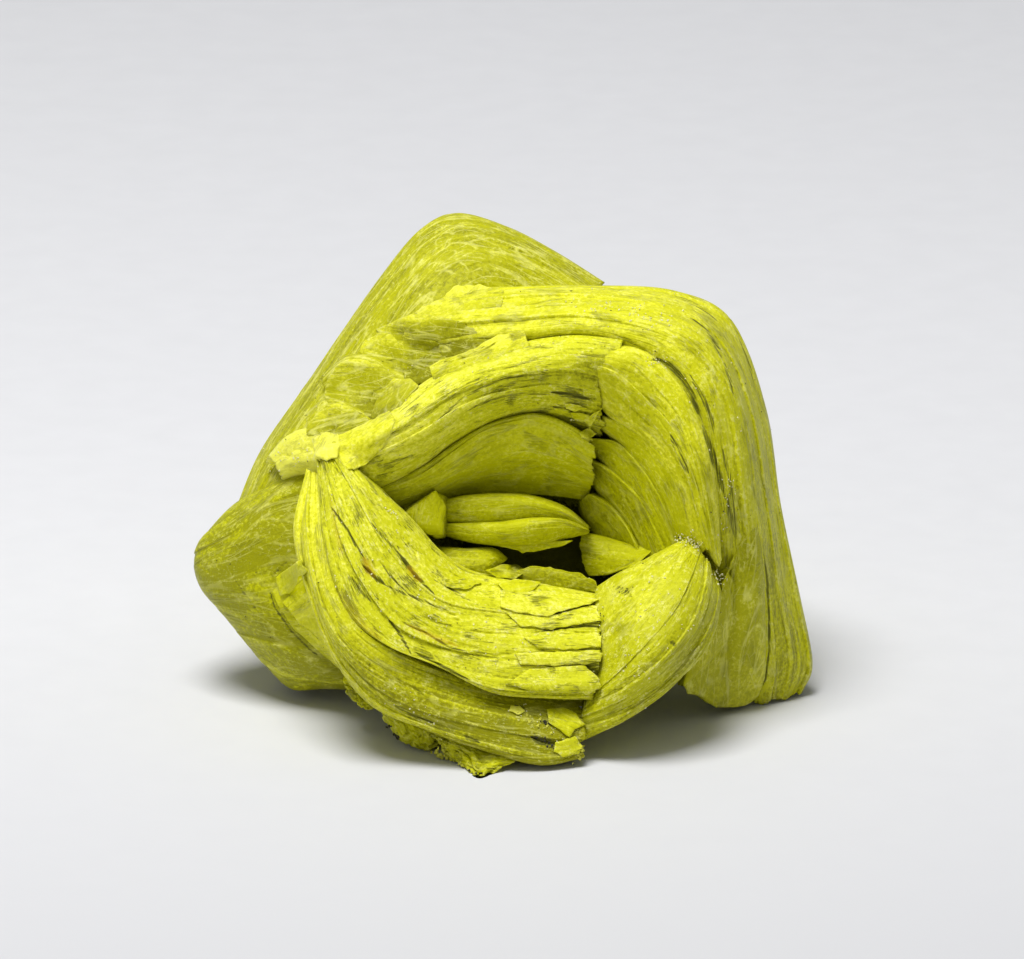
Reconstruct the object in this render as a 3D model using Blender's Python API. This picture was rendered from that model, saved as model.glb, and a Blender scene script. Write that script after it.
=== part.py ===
"""Autunite specimen: fanning books of thin square plates grown together into one rosette around a hollow."""

import math

import bmesh
import bpy
import numpy as np
from mathutils import Vector

# Driving dimensions, in millimetres unless named otherwise.
MM = 0.001
LEAN_BACK = math.radians(18.0)  # the face of the rosette leans back this far from upright
SHIFT = (0.64, -13.89, 20.0)  # brings the middle of the base to the origin
ALONG = 11  # spans along the plates of a sheaf
LEDGE_HALF = 0.014  # half the share of a sheaf's width that one ledge takes up
LEDGE_ROOM = 2.2  # a course nearer to a ledge than this many half ledges is left out
FEWEST_FACES = 40  # a closed shell of fewer faces than this is a crumb of the unions
CUTTER_WIDTH = 80.0
CUTTER_DEPTH = 20.0
STONE_ROUGHNESS = 0.42
AUTUNITE_COLOUR = (0.62, 0.68, 0.05, 1.0)
HEART_CENTRE = (-1.0, 0.0, -26.0)  # the massive middle that every sheaf grows from
HEART_RADII = (14.0, 10.5, 7.0)

# Each sheaf is given as courses of points: every course runs along the plates.
# The courses follow each other across the plates.
# A point is (right, up the leaning face, out of the face).
# The last entries of a sheaf are the root it fans out from, and its ledges.
# A ledge is (share of the width where it lies, how far the plates after it stand out).
LOWER_BUNDLE = (
    (
        (
            (-12.4, 2.3, -9.5), (-10.4, 0.6, -8.5), (-8.4, -1.3, -8.0),
            (-6.6, -3.1, -8.0), (-5.0, -4.9, -8.0), (-3.0, -6.3, -8.5),
            (-0.4, -6.8, -9.0), (2.9, -7.4, -9.5), (6.3, -8.0, -10.0),
        ),
        (
            (-12.4, 2.3, -7.5), (-10.6, 0.4, -6.5), (-8.6, -1.7, -6.0),
            (-6.9, -3.5, -6.0), (-5.3, -5.3, -6.0), (-3.3, -6.7, -6.5),
            (-0.6, -7.2, -7.0), (2.8, -7.7, -7.5), (6.4, -8.3, -8.0),
        ),
        (
            (-12.7, 2.0, -7.0), (-11.2, -0.2, -5.0), (-9.6, -2.9, -3.9),
            (-8.1, -5.0, -3.6), (-6.5, -6.8, -3.6), (-4.2, -8.3, -4.0),
            (-1.1, -9.0, -4.6), (2.6, -9.5, -5.2), (6.4, -9.8, -5.8),
        ),
        (
            (-13.1, 1.8, -7.0), (-12.1, -1.0, -4.6), (-10.8, -4.0, -2.9),
            (-9.4, -6.6, -2.2), (-7.6, -8.7, -2.1), (-4.9, -10.2, -2.5),
            (-1.4, -10.9, -3.1), (2.5, -11.2, -3.8), (6.4, -11.3, -4.4),
        ),
        (
            (-13.5, 1.6, -7.2), (-12.9, -1.8, -4.8), (-12.0, -5.4, -2.8),
            (-10.6, -8.6, -1.6), (-8.4, -11.0, -1.2), (-5.2, -12.3, -1.5),
            (-1.6, -13.4, -2.0), (2.3, -13.7, -2.7), (6.35, -13.4, -3.4),
        ),
        (
            (-13.7, 1.5, -7.4), (-13.4, -2.2, -5.2), (-12.7, -6.2, -3.0),
            (-11.2, -9.6, -1.6), (-8.6, -11.6, -1.0), (-5.2, -13.0, -1.2),
            (-1.4, -14.8, -1.8), (2.3, -15.2, -2.6), (5.9, -15.3, -3.6),
        ),
        (
            (-13.6, 1.3, -8.6), (-13.2, -2.2, -7.0), (-12.4, -6.2, -5.0),
            (-10.9, -9.4, -3.8), (-8.4, -11.3, -3.4), (-5.0, -12.7, -3.6),
            (-1.4, -14.5, -4.0), (2.2, -14.9, -4.8), (5.5, -15.0, -5.8),
        ),
    ),
    (-4.0, -10.0, -20.0),
    ((0.27, 0.25), (0.36, -0.05), (0.5, 0.3), (0.6, 0.0), (0.7, 0.25), (0.78, 0.0)),
)
LOWER_APRON = (
    (
        (
            (-13.4, 0.6, -8.0), (-13.2, -3.0, -5.0), (-12.5, -7.0, -2.7),
            (-10.9, -10.0, -1.3), (-8.2, -12.0, -1.1), (-4.8, -13.4, -2.4),
            (-1.1, -14.5, -3.7), (2.3, -14.9, -5.1), (5.2, -15.0, -6.2),
        ),
        (
            (-14.0, 0.7, -7.7), (-14.1, -3.6, -5.1), (-13.3, -8.0, -2.9),
            (-11.7, -11.2, -1.5), (-8.9, -13.5, -1.2), (-5.3, -15.0, -1.6),
            (-1.4, -16.0, -2.1), (2.0, -16.5, -2.9), (5.2, -16.7, -3.7),
        ),
        (
            (-14.0, 0.6, -8.1), (-14.7, -4.2, -6.2), (-13.7, -8.7, -4.1),
            (-12.1, -12.2, -2.6), (-9.4, -15.1, -1.9), (-5.7, -16.8, -1.7),
            (-1.9, -18.0, -1.6), (1.8, -18.7, -2.0), (5.1, -18.5, -2.9),
        ),
        (
            (-14.3, 0.8, -9.0), (-15.2, -3.8, -7.6), (-13.8, -9.0, -5.6),
            (-12.4, -12.5, -4.2), (-9.8, -15.7, -3.4), (-6.0, -17.4, -2.9),
            (-2.3, -18.8, -2.5), (1.9, -19.9, -2.4), (5.0, -19.4, -3.4),
        ),
        (
            (-13.8, 0.5, -10.5), (-14.3, -3.9, -10.0), (-12.8, -8.7, -8.5),
            (-11.6, -12.0, -7.4), (-9.0, -15.0, -7.0), (-5.6, -16.8, -6.6),
            (-2.2, -18.2, -6.2), (1.4, -19.0, -6.0), (4.2, -18.6, -6.6),
        ),
    ),
    (-4.0, -9.0, -20.0),
    ((0.28, 0.25), (0.42, 0.0), (0.56, 0.2), (0.7, 0.0)),
)
CORNER_BOOK = (
    (
        (
            (6.4, -7.4, -10.0), (7.6, -6.6, -10.0), (8.9, -5.9, -10.0),
            (10.2, -5.2, -10.2), (11.5, -4.5, -10.4), (12.4, -4.1, -10.6),
        ),
        (
            (5.8, -7.8, -8.2), (7.3, -6.8, -6.9), (8.6, -6.1, -6.8),
            (9.9, -5.4, -7.0), (11.3, -4.6, -7.6), (12.3, -4.1, -8.6),
        ),
        (
            (5.7, -10.7, -5.7), (7.5, -9.3, -4.1), (8.9, -8.0, -4.1),
            (10.2, -6.8, -4.8), (11.6, -5.5, -6.0), (12.7, -4.4, -8.0),
        ),
        (
            (5.6, -14.5, -4.2), (8.0, -12.6, -2.1), (9.8, -10.6, -2.1),
            (11.2, -8.6, -3.1), (12.3, -6.7, -4.8), (13.1, -4.8, -7.6),
        ),
        (
            (5.0, -15.9, -4.0), (8.2, -14.2, -1.7), (10.8, -12.0, -1.9),
            (12.5, -9.6, -3.2), (13.3, -7.3, -5.0), (13.5, -5.3, -7.6),
        ),
        (
            (4.6, -17.1, -3.9), (8.2, -15.5, -2.4), (11.2, -13.2, -2.9),
            (13.3, -10.6, -4.2), (14.1, -8.0, -6.0), (13.9, -6.1, -8.0),
        ),
        (
            (4.6, -18.4, -4.4), (7.9, -16.75, -3.5), (11.3, -14.35, -4.2),
            (13.8, -11.5, -5.7), (14.6, -8.3, -7.9), (14.1, -6.4, -9.2),
        ),
        (
            (4.7, -17.7, -7.0), (7.4, -15.8, -7.5), (10.4, -13.6, -8.5),
            (12.8, -11.0, -9.6), (13.8, -8.2, -10.6), (13.6, -6.4, -11.0),
        ),
    ),
    (6.0, -8.0, -21.0),
    ((0.3, 0.2), (0.45, 0.0), (0.58, 0.25), (0.66, 0.0), (0.76, 0.2), (0.84, 0.0)),
)
ARCH = (
    (
        (
            (-11.9, 3.0, -10.5), (-9.4, 4.4, -10.8), (-6.8, 6.2, -11.2), (-4.0, 7.9, -11.2),
            (-1.2, 8.8, -11.0), (1.8, 9.5, -10.6), (4.7, 9.8, -10.2), (8.0, 9.5, -9.8),
        ),
        (
            (-11.8, 2.9, -9.0), (-9.5, 4.45, -8.6), (-6.9, 6.3, -8.6), (-4.1, 8.1, -8.6),
            (-1.3, 9.1, -8.5), (1.7, 9.8, -8.2), (4.6, 10.1, -8.0), (7.8, 9.8, -7.6),
        ),
        (
            (-11.6, 2.6, -7.9), (-9.3, 3.9, -6.9), (-6.7, 5.6, -6.7), (-4.0, 7.3, -6.7),
            (-1.2, 8.3, -6.7), (1.7, 8.8, -6.6), (4.5, 9.0, -6.6), (7.4, 8.6, -6.6),
        ),
        (
            (-11.5, 1.9, -7.5), (-9.1, 2.9, -6.1), (-6.4, 4.3, -5.9), (-3.8, 5.9, -5.9),
            (-1.1, 7.0, -6.0), (1.7, 7.5, -6.1), (4.3, 7.5, -6.5), (6.4, 6.9, -7.4),
        ),
        (
            (-11.6, 1.1, -7.8), (-9.0, 1.6, -6.5), (-6.2, 2.8, -6.3), (-3.6, 4.4, -6.4),
            (-1.0, 5.6, -6.7), (1.8, 6.0, -7.1), (4.3, 5.9, -7.5), (6.5, 5.4, -8.2),
        ),
        (
            (-11.4, 0.3, -8.3), (-9.1, 0.3, -7.4), (-6.3, 1.5, -7.5), (-3.8, 3.1, -7.8),
            (-1.0, 4.5, -8.1), (1.8, 5.0, -8.4), (4.3, 4.6, -8.8), (6.6, 4.0, -9.4),
        ),
        (
            (-11.0, -0.5, -9.2), (-9.1, -0.6, -9.0), (-6.2, 0.7, -9.4), (-4.0, 2.3, -9.8),
            (-1.0, 3.8, -10.2), (1.7, 4.3, -10.4), (4.2, 3.7, -10.8), (6.6, 2.9, -11.2),
        ),
    ),
    (-1.0, 3.0, -22.0),
    ((0.38, 0.2), (0.5, -0.05), (0.6, 0.2), (0.7, 0.0), (0.82, 0.15)),
)
ARCH_LINING = (
    (
        (
            (-9.6, -0.3, -10.6), (-6.5, 1.1, -10.4), (-4.2, 2.7, -10.4), (-2.0, 3.9, -10.5),
            (0.2, 4.5, -10.6), (1.9, 4.65, -10.8), (3.9, 3.9, -11.2), (5.8, 2.8, -11.6),
        ),
        (
            (-9.6, -0.7, -8.9), (-6.5, 0.7, -8.5), (-4.2, 2.3, -8.4), (-2.0, 3.7, -8.5),
            (0.2, 4.4, -8.6), (1.9, 4.6, -8.7), (3.9, 3.9, -9.2), (5.8, 2.7, -9.8),
        ),
        (
            (-9.0, -1.1, -9.2), (-6.3, 0.0, -8.9), (-4.1, 1.5, -8.9), (-2.0, 3.0, -8.9),
            (0.2, 3.7, -9.0), (2.0, 3.7, -9.1), (3.9, 3.0, -9.6), (5.9, 1.6, -10.3),
        ),
        (
            (-8.4, -1.6, -9.8), (-6.1, -0.7, -9.6), (-4.0, 0.4, -9.7), (-1.9, 1.5, -9.8),
            (0.3, 2.1, -9.9), (2.1, 2.0, -10.1), (3.9, 1.4, -10.5), (5.9, 0.4, -11.1),
        ),
        (
            (-7.8, -2.1, -10.6), (-5.9, -1.3, -10.8), (-3.9, -0.3, -11.0), (-1.8, 0.4, -11.2),
            (0.3, 0.7, -11.4), (2.1, 0.6, -11.6), (3.9, 0.2, -11.9), (5.8, -0.4, -12.4),
        ),
        (
            (-7.4, -2.7, -11.6), (-5.6, -1.9, -12.2), (-3.8, -1.2, -12.8), (-1.6, -1.0, -13.2),
            (0.4, -1.0, -13.4), (2.2, -1.1, -13.6), (4.0, -1.3, -14.0), (5.4, -1.5, -14.4),
        ),
    ),
    (-1.0, 1.0, -23.0),
    ((0.3, 0.15), (0.42, 0.0), (0.62, 0.15), (0.75, 0.0)),
)
HOOD = (
    (
        (
            (-8.2, 9.6, -15.4), (-4.6, 9.0, -12.6), (0.0, 9.5, -9.6), (5.0, 9.9, -8.4),
            (9.2, 8.7, -7.5), (11.3, 7.0, -7.1), (12.9, 4.4, -7.0), (14.0, -1.2, -7.8),
            (14.3, -6.6, -10.4), (14.6, -11.4, -13.8), (14.8, -14.5, -16.0),
        ),
        (
            (-7.9, 10.3, -14.0), (-4.5, 9.9, -11.6), (0.0, 10.3, -8.9), (5.0, 10.7, -7.9),
            (9.9, 9.7, -7.1), (12.5, 7.8, -6.9), (14.2, 4.6, -7.0), (15.1, -1.4, -8.2),
            (15.6, -7.3, -10.9), (16.2, -12.0, -13.2), (16.4, -15.5, -15.5),
        ),
        (
            (-7.4, 11.1, -14.2), (-4.3, 11.5, -12.1), (0.0, 11.8, -10.2), (5.0, 12.1, -9.2),
            (10.6, 11.2, -8.1), (13.9, 9.1, -8.1), (15.9, 4.9, -8.5), (16.9, -1.6, -9.8),
            (17.8, -8.0, -12.6), (18.3, -12.6, -14.2), (18.0, -15.85, -15.9),
        ),
        (
            (-6.9, 11.7, -15.5), (-4.2, 12.7, -14.4), (0.0, 13.1, -13.0), (5.0, 13.2, -12.2),
            (10.9, 12.6, -11.8), (14.8, 10.2, -12.0), (17.0, 5.0, -12.4), (18.2, -1.6, -13.4),
            (19.2, -8.2, -14.8), (20.1, -12.8, -15.8), (19.4, -15.5, -16.7),
        ),
        (
            (-6.8, 11.8, -17.0), (-4.0, 13.3, -16.8), (0.0, 13.55, -16.4), (5.5, 13.65, -16.0),
            (11.4, 13.3, -15.8), (15.5, 11.2, -15.8), (17.9, 5.0, -16.0), (18.9, -1.8, -16.4),
            (20.2, -8.0, -17.0), (21.1, -12.8, -17.6), (20.4, -14.9, -18.0),
        ),
        (
            (-6.5, 11.0, -20.0), (-4.0, 12.3, -20.4), (0.0, 12.7, -20.6), (5.5, 12.8, -20.4),
            (11.0, 12.4, -20.4), (14.9, 10.4, -20.4), (17.3, 4.6, -20.4), (18.2, -2.0, -20.4),
            (19.3, -8.0, -20.6), (20.0, -12.4, -20.6), (19.4, -14.2, -20.2),
        ),
    ),
    (4.0, 1.0, -25.0),
    ((0.3, 0.25), (0.42, 0.0), (0.52, 0.25), (0.63, 0.0), (0.72, 0.2)),
)
FRONT_LOBE = (
    (
        ((12.6, -4.4, -12.4), (12.4, -9.0, -13.0), (12.0, -12.4, -14.2), (11.7, -14.5, -15.4)),
        ((13.4, -4.6, -11.3), (13.2, -9.0, -12.0), (12.8, -12.4, -13.2), (12.3, -14.7, -14.6)),
        ((14.6, -4.2, -9.9), (14.6, -9.0, -10.9), (14.2, -12.8, -12.4), (13.9, -15.8, -14.8)),
        ((16.0, -4.0, -10.0), (16.2, -9.0, -11.0), (16.0, -13.0, -12.6), (15.6, -15.95, -15.6)),
        ((17.2, -4.4, -11.0), (17.6, -9.0, -11.9), (17.6, -13.0, -13.4), (16.8, -15.6, -15.6)),
        ((17.4, -4.8, -13.4), (17.9, -9.0, -14.0), (17.9, -13.0, -15.2), (17.0, -15.2, -16.6)),
    ),
    (10.0, -4.0, -23.0),
    ((0.3, 0.1), (0.62, 0.0)),
)
BOWL_WALL = (
    (
        (
            (4.7, 7.4, -9.6), (6.0, 5.4, -10.2), (7.3, 3.6, -10.2),
            (9.1, 2.0, -9.2), (10.9, -0.9, -8.8), (12.6, -5.4, -9.6),
        ),
        (
            (4.8, 7.7, -7.9), (6.1, 5.6, -8.4), (7.6, 4.0, -8.5),
            (9.5, 2.5, -7.6), (11.4, -0.5, -7.0), (13.0, -5.4, -8.4),
        ),
        (
            (5.0, 8.3, -6.6), (7.2, 6.9, -6.7), (9.0, 5.2, -6.6),
            (10.8, 3.3, -6.0), (12.4, 0.3, -5.7), (13.8, -5.0, -6.8),
        ),
        (
            (5.6, 9.1, -6.4), (8.3, 8.2, -6.1), (10.2, 6.4, -5.8),
            (11.9, 4.0, -5.5), (13.2, 0.5, -5.6), (14.4, -6.1, -7.4),
        ),
        (
            (6.2, 9.8, -7.0), (9.2, 8.9, -6.7), (11.2, 7.2, -6.4),
            (12.8, 4.7, -6.2), (14.1, 0.8, -6.5), (14.7, -5.9, -8.6),
        ),
        (
            (6.4, 9.9, -8.8), (9.4, 9.0, -8.6), (11.6, 7.1, -8.4),
            (13.2, 4.7, -8.2), (14.4, 0.8, -8.8), (14.6, -5.6, -10.4),
        ),
    ),
    (8.0, 1.0, -21.0),
    ((0.34, 0.25), (0.46, 0.0), (0.58, 0.2), (0.7, 0.0)),
)
BOWL_BLADES = (
    (
        (
            (
                (4.6, -1.6, -16.5), (4.9, -2.8, -16.5), (5.8, -4.1, -16.2),
                (7.1, -5.1, -15.6), (8.4, -5.8, -14.6),
            ),
            (
                (4.7, -1.4, -14.5), (5.1, -2.6, -14.6), (6.0, -3.9, -14.4),
                (7.3, -4.9, -13.8), (8.9, -6.2, -12.8),
            ),
            (
                (5.0, -1.1, -13.4), (5.8, -2.0, -13.2), (6.9, -3.1, -12.8),
                (8.0, -4.3, -12.2), (9.1, -6.2, -11.6),
            ),
            (
                (5.3, -0.9, -13.0), (6.4, -1.5, -12.4), (7.5, -2.5, -11.8),
                (8.4, -3.9, -11.3), (9.4, -6.0, -11.0),
            ),
            (
                (5.6, -0.8, -14.6), (6.9, -1.4, -14.0), (8.0, -2.4, -13.4),
                (8.9, -3.8, -12.9), (9.5, -5.2, -12.6),
            ),
        ),
        (8.0, -1.0, -23.0),
        ((0.5, 0.1),),
    ),
    (
        (
            (
                (4.9, 0.8, -15.4), (5.7, -0.6, -15.2), (6.9, -2.0, -14.4),
                (8.2, -3.5, -13.6), (9.2, -5.2, -12.8),
            ),
            (
                (4.9, 0.9, -13.6), (5.7, -0.4, -13.4), (6.9, -1.8, -12.6),
                (8.2, -3.3, -11.8), (9.6, -5.8, -11.0),
            ),
            (
                (5.0, 1.2, -12.6), (6.1, 0.6, -12.0), (7.4, -0.6, -11.2),
                (8.7, -2.2, -10.4), (10.3, -5.6, -10.0),
            ),
            (
                (5.2, 1.5, -12.2), (6.4, 1.0, -11.3), (7.8, -0.1, -10.4),
                (9.2, -1.6, -9.7), (11.0, -5.4, -9.6),
            ),
            (
                (5.5, 1.5, -13.8), (6.9, 1.0, -12.9), (8.3, -0.1, -12.0),
                (9.7, -1.6, -11.3), (11.1, -4.5, -10.8),
            ),
        ),
        (8.5, 0.0, -23.0),
        ((0.5, 0.1),),
    ),
    (
        (
            (
                (5.2, 2.2, -14.0), (6.4, 1.0, -13.4), (7.8, -0.4, -12.4),
                (9.2, -2.1, -11.6), (10.6, -4.7, -11.2),
            ),
            (
                (5.2, 2.4, -12.2), (6.4, 1.2, -11.6), (7.8, -0.2, -10.6),
                (9.2, -1.9, -9.8), (10.9, -5.4, -9.8),
            ),
            (
                (5.4, 2.7, -11.4), (6.9, 2.2, -10.6), (8.3, 0.8, -9.6),
                (9.7, -1.3, -8.9), (11.5, -5.2, -9.2),
            ),
            (
                (5.6, 2.9, -11.0), (7.3, 2.6, -10.0), (8.9, 1.1, -8.9),
                (10.4, -1.2, -8.2), (12.0, -5.0, -9.0),
            ),
            (
                (5.9, 2.9, -12.6), (7.7, 2.6, -11.6), (9.3, 1.1, -10.5),
                (10.8, -1.2, -9.8), (12.2, -4.1, -9.8),
            ),
        ),
        (8.5, 1.0, -23.0),
        ((0.5, 0.1),),
    ),
    (
        (
            (
                (5.7, 3.8, -12.4), (7.1, 2.7, -12.0), (8.5, 1.4, -11.0),
                (9.9, -0.8, -10.2), (11.6, -4.2, -10.0),
            ),
            (
                (5.7, 4.0, -10.6), (7.1, 2.9, -10.2), (8.5, 1.6, -9.2),
                (9.9, -0.6, -8.4), (11.8, -5.0, -9.0),
            ),
            (
                (5.9, 4.2, -9.9), (7.6, 3.3, -9.1), (9.2, 2.2, -8.0),
                (10.9, -0.2, -7.2), (12.6, -4.9, -8.4),
            ),
            (
                (6.2, 4.5, -9.6), (8.0, 3.8, -8.5), (9.8, 2.6, -7.5),
                (11.6, 0.0, -6.8), (13.1, -4.8, -8.2),
            ),
            (
                (6.5, 4.5, -11.0), (8.4, 3.8, -10.0), (10.2, 2.6, -9.0),
                (12.0, 0.0, -8.4), (13.3, -4.1, -8.6),
            ),
        ),
        (8.5, 2.0, -23.0),
        ((0.5, 0.1),),
    ),
    (
        (
            ((4.5, -3.6, -14.6), (6.4, -4.0, -14.2), (8.6, -4.6, -13.4), (10.4, -4.4, -12.2)),
            ((4.6, -3.7, -13.2), (6.5, -4.1, -12.6), (8.7, -4.6, -11.6), (10.6, -4.3, -10.6)),
            ((4.7, -5.2, -12.8), (6.4, -5.3, -12.0), (8.2, -5.4, -11.1), (9.8, -5.1, -10.2)),
            ((5.3, -6.8, -12.8), (6.6, -6.7, -12.0), (7.8, -6.3, -11.2), (9.0, -5.8, -10.4)),
        ),
        (8.0, -6.8, -22.0),
        ((0.5, 0.05),),
    ),
)
HOLLOW_PLATES = (
    (
        (
            (
                (-5.4, -1.6, -12.4), (-3.4, -1.1, -12.0), (-0.8, -0.95, -12.0),
                (1.6, -1.15, -12.2), (3.8, -1.9, -12.8), (5.5, -3.3, -13.8),
            ),
            (
                (-5.2, -1.7, -11.0), (-3.4, -1.25, -10.2), (-0.8, -1.15, -10.0),
                (1.6, -1.35, -10.1), (3.8, -2.1, -10.8), (5.4, -3.4, -12.0),
            ),
            (
                (-5.1, -2.3, -10.8), (-3.3, -2.2, -10.0), (-0.8, -2.1, -9.7),
                (1.6, -2.1, -9.8), (3.8, -2.6, -10.5), (5.4, -3.5, -11.8),
            ),
            (
                (-4.9, -2.9, -11.2), (-3.1, -3.1, -10.6), (-0.8, -3.1, -10.4),
                (1.6, -2.9, -10.5), (3.7, -3.0, -11.1), (5.3, -3.6, -12.2),
            ),
            (
                (-4.9, -3.0, -13.0), (-3.1, -3.2, -12.6), (-0.8, -3.2, -12.6),
                (1.6, -3.1, -12.8), (3.7, -3.2, -13.2), (5.2, -3.7, -14.0),
            ),
        ),
        (0.0, -0.5, -23.0),
        ((0.5, 0.05),),
    ),
    (
        (
            (
                (-5.2, -3.0, -12.6), (-3.2, -3.0, -11.9), (-0.8, -2.9, -11.7),
                (1.6, -2.6, -11.7), (3.8, -2.7, -12.2), (5.6, -3.4, -13.4),
            ),
            (
                (-5.1, -3.1, -10.9), (-3.2, -3.1, -10.0), (-0.8, -3.0, -9.5),
                (1.6, -2.75, -9.4), (3.8, -2.85, -10.1), (5.5, -3.55, -11.6),
            ),
            (
                (-5.0, -3.5, -10.7), (-3.1, -3.8, -9.8), (-0.7, -3.8, -9.2),
                (1.7, -3.5, -9.1), (3.8, -3.3, -9.9), (5.5, -3.65, -11.5),
            ),
            (
                (-4.8, -3.9, -11.2), (-2.8, -4.4, -10.4), (-0.5, -4.6, -10.0),
                (1.8, -4.5, -10.0), (3.8, -4.1, -10.6), (5.4, -3.8, -11.9),
            ),
            (
                (-4.8, -4.0, -13.2), (-2.8, -4.5, -12.8), (-0.5, -4.7, -12.6),
                (1.8, -4.6, -12.6), (3.7, -4.2, -12.9), (5.2, -3.9, -13.8),
            ),
        ),
        (0.0, -4.2, -23.0),
        ((0.5, 0.05),),
    ),
    (
        (
            ((-7.8, -2.1, -11.2), (-6.6, -1.4, -11.0), (-5.6, -0.9, -11.2), (-4.2, -1.3, -12.6)),
            ((-7.7, -2.3, -9.9), (-6.5, -1.6, -9.3), (-5.4, -1.05, -9.3), (-4.2, -1.5, -11.2)),
            ((-7.3, -2.7, -9.6), (-6.3, -2.5, -9.0), (-5.4, -2.4, -8.9), (-4.2, -2.6, -11.0)),
            ((-6.7, -3.2, -9.7), (-6.0, -3.5, -9.3), (-5.3, -3.9, -9.4), (-4.2, -3.8, -11.2)),
            ((-6.4, -3.3, -11.8), (-5.9, -3.7, -11.8), (-5.3, -4.2, -12.0), (-4.2, -4.0, -13.0)),
        ),
        (-4.0, -2.0, -23.0),
        ((0.5, 0.1),),
    ),
    (
        (
            ((-5.6, -4.6, -13.0), (-3.4, -4.8, -12.6), (-1.4, -4.8, -12.6), (-0.4, -5.4, -13.0)),
            ((-5.5, -4.8, -10.6), (-3.4, -4.9, -10.2), (-1.3, -4.9, -10.4), (-0.3, -5.6, -11.0)),
            ((-4.9, -5.8, -9.6), (-3.2, -6.0, -9.2), (-1.6, -6.1, -9.6), (-0.8, -6.0, -10.4)),
            ((-4.3, -6.6, -9.6), (-3.0, -6.8, -9.4), (-1.6, -6.9, -9.8), (-0.8, -6.6, -10.6)),
        ),
        (-3.0, -5.0, -22.0),
        ((0.5, 0.1),),
    ),
)
BACK_SHEAF = (
    (
        (
            (-11.0, -1.0, -15.0), (-9.0, 2.0, -15.0), (-7.0, 4.6, -16.0), (-5.0, 6.6, -17.0),
            (-3.5, 8.0, -18.0), (-2.6, 9.0, -18.4), (-1.8, 9.4, -18.8), (-0.4, 9.2, -19.0),
            (1.0, 8.8, -19.2), (2.6, 8.2, -19.4),
        ),
        (
            (-15.0, -1.0, -13.4), (-12.4, 2.4, -13.2), (-9.8, 5.8, -14.0), (-7.2, 8.8, -14.6),
            (-5.2, 10.8, -15.2), (-3.8, 12.0, -15.9), (-2.4, 12.6, -16.4), (-0.6, 12.4, -16.8),
            (1.4, 11.6, -17.2), (3.4, 10.6, -17.6),
        ),
        (
            (-17.3, -1.8, -14.4), (-14.9, 1.8, -14.6), (-12.0, 5.8, -15.1), (-9.2, 9.8, -15.6),
            (-6.9, 12.9, -16.2), (-4.9, 14.9, -17.0), (-2.8, 15.7, -17.7), (-0.3, 15.1, -17.9),
            (2.2, 13.8, -18.2), (4.7, 12.2, -18.2),
        ),
        (
            (-18.9, -2.2, -16.2), (-16.8, 1.8, -16.8), (-13.9, 6.0, -17.4), (-10.9, 10.3, -17.9),
            (-8.0, 14.0, -18.5), (-5.6, 16.6, -19.3), (-3.2, 17.6, -20.0), (-0.1, 16.9, -20.0),
            (2.9, 15.3, -19.7), (5.8, 13.3, -19.4),
        ),
        (
            (-19.7, -2.4, -19.0), (-17.9, 1.9, -20.0), (-15.1, 6.1, -21.0), (-12.1, 10.5, -21.5),
            (-9.2, 14.6, -22.0), (-6.6, 17.7, -22.5), (-4.0, 18.95, -23.0), (-0.4, 18.0, -23.0),
            (3.1, 16.2, -22.6), (6.6, 14.0, -22.2),
        ),
        (
            (-18.8, -3.0, -22.5), (-17.0, 1.2, -23.5), (-14.2, 5.6, -24.5), (-11.2, 9.8, -25.4),
            (-8.2, 13.4, -26.0), (-5.6, 16.2, -26.5), (-3.2, 17.2, -26.8), (-0.2, 16.4, -26.8),
            (2.6, 14.8, -26.4), (5.6, 12.8, -25.8),
        ),
        (
            (-16.0, -3.4, -26.0), (-14.6, 0.4, -27.0), (-12.4, 4.0, -28.2), (-9.8, 7.6, -29.0),
            (-7.4, 10.6, -29.6), (-5.0, 12.8, -30.0), (-2.8, 13.6, -30.2), (-0.4, 13.2, -30.2),
            (2.0, 12.0, -29.8), (4.4, 10.4, -29.2),
        ),
    ),
    (-4.0, 2.0, -24.0),
    ((0.22, 0.2), (0.36, 0.0), (0.46, 0.2), (0.56, 0.0), (0.76, 0.25), (0.86, 0.0)),
)
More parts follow.
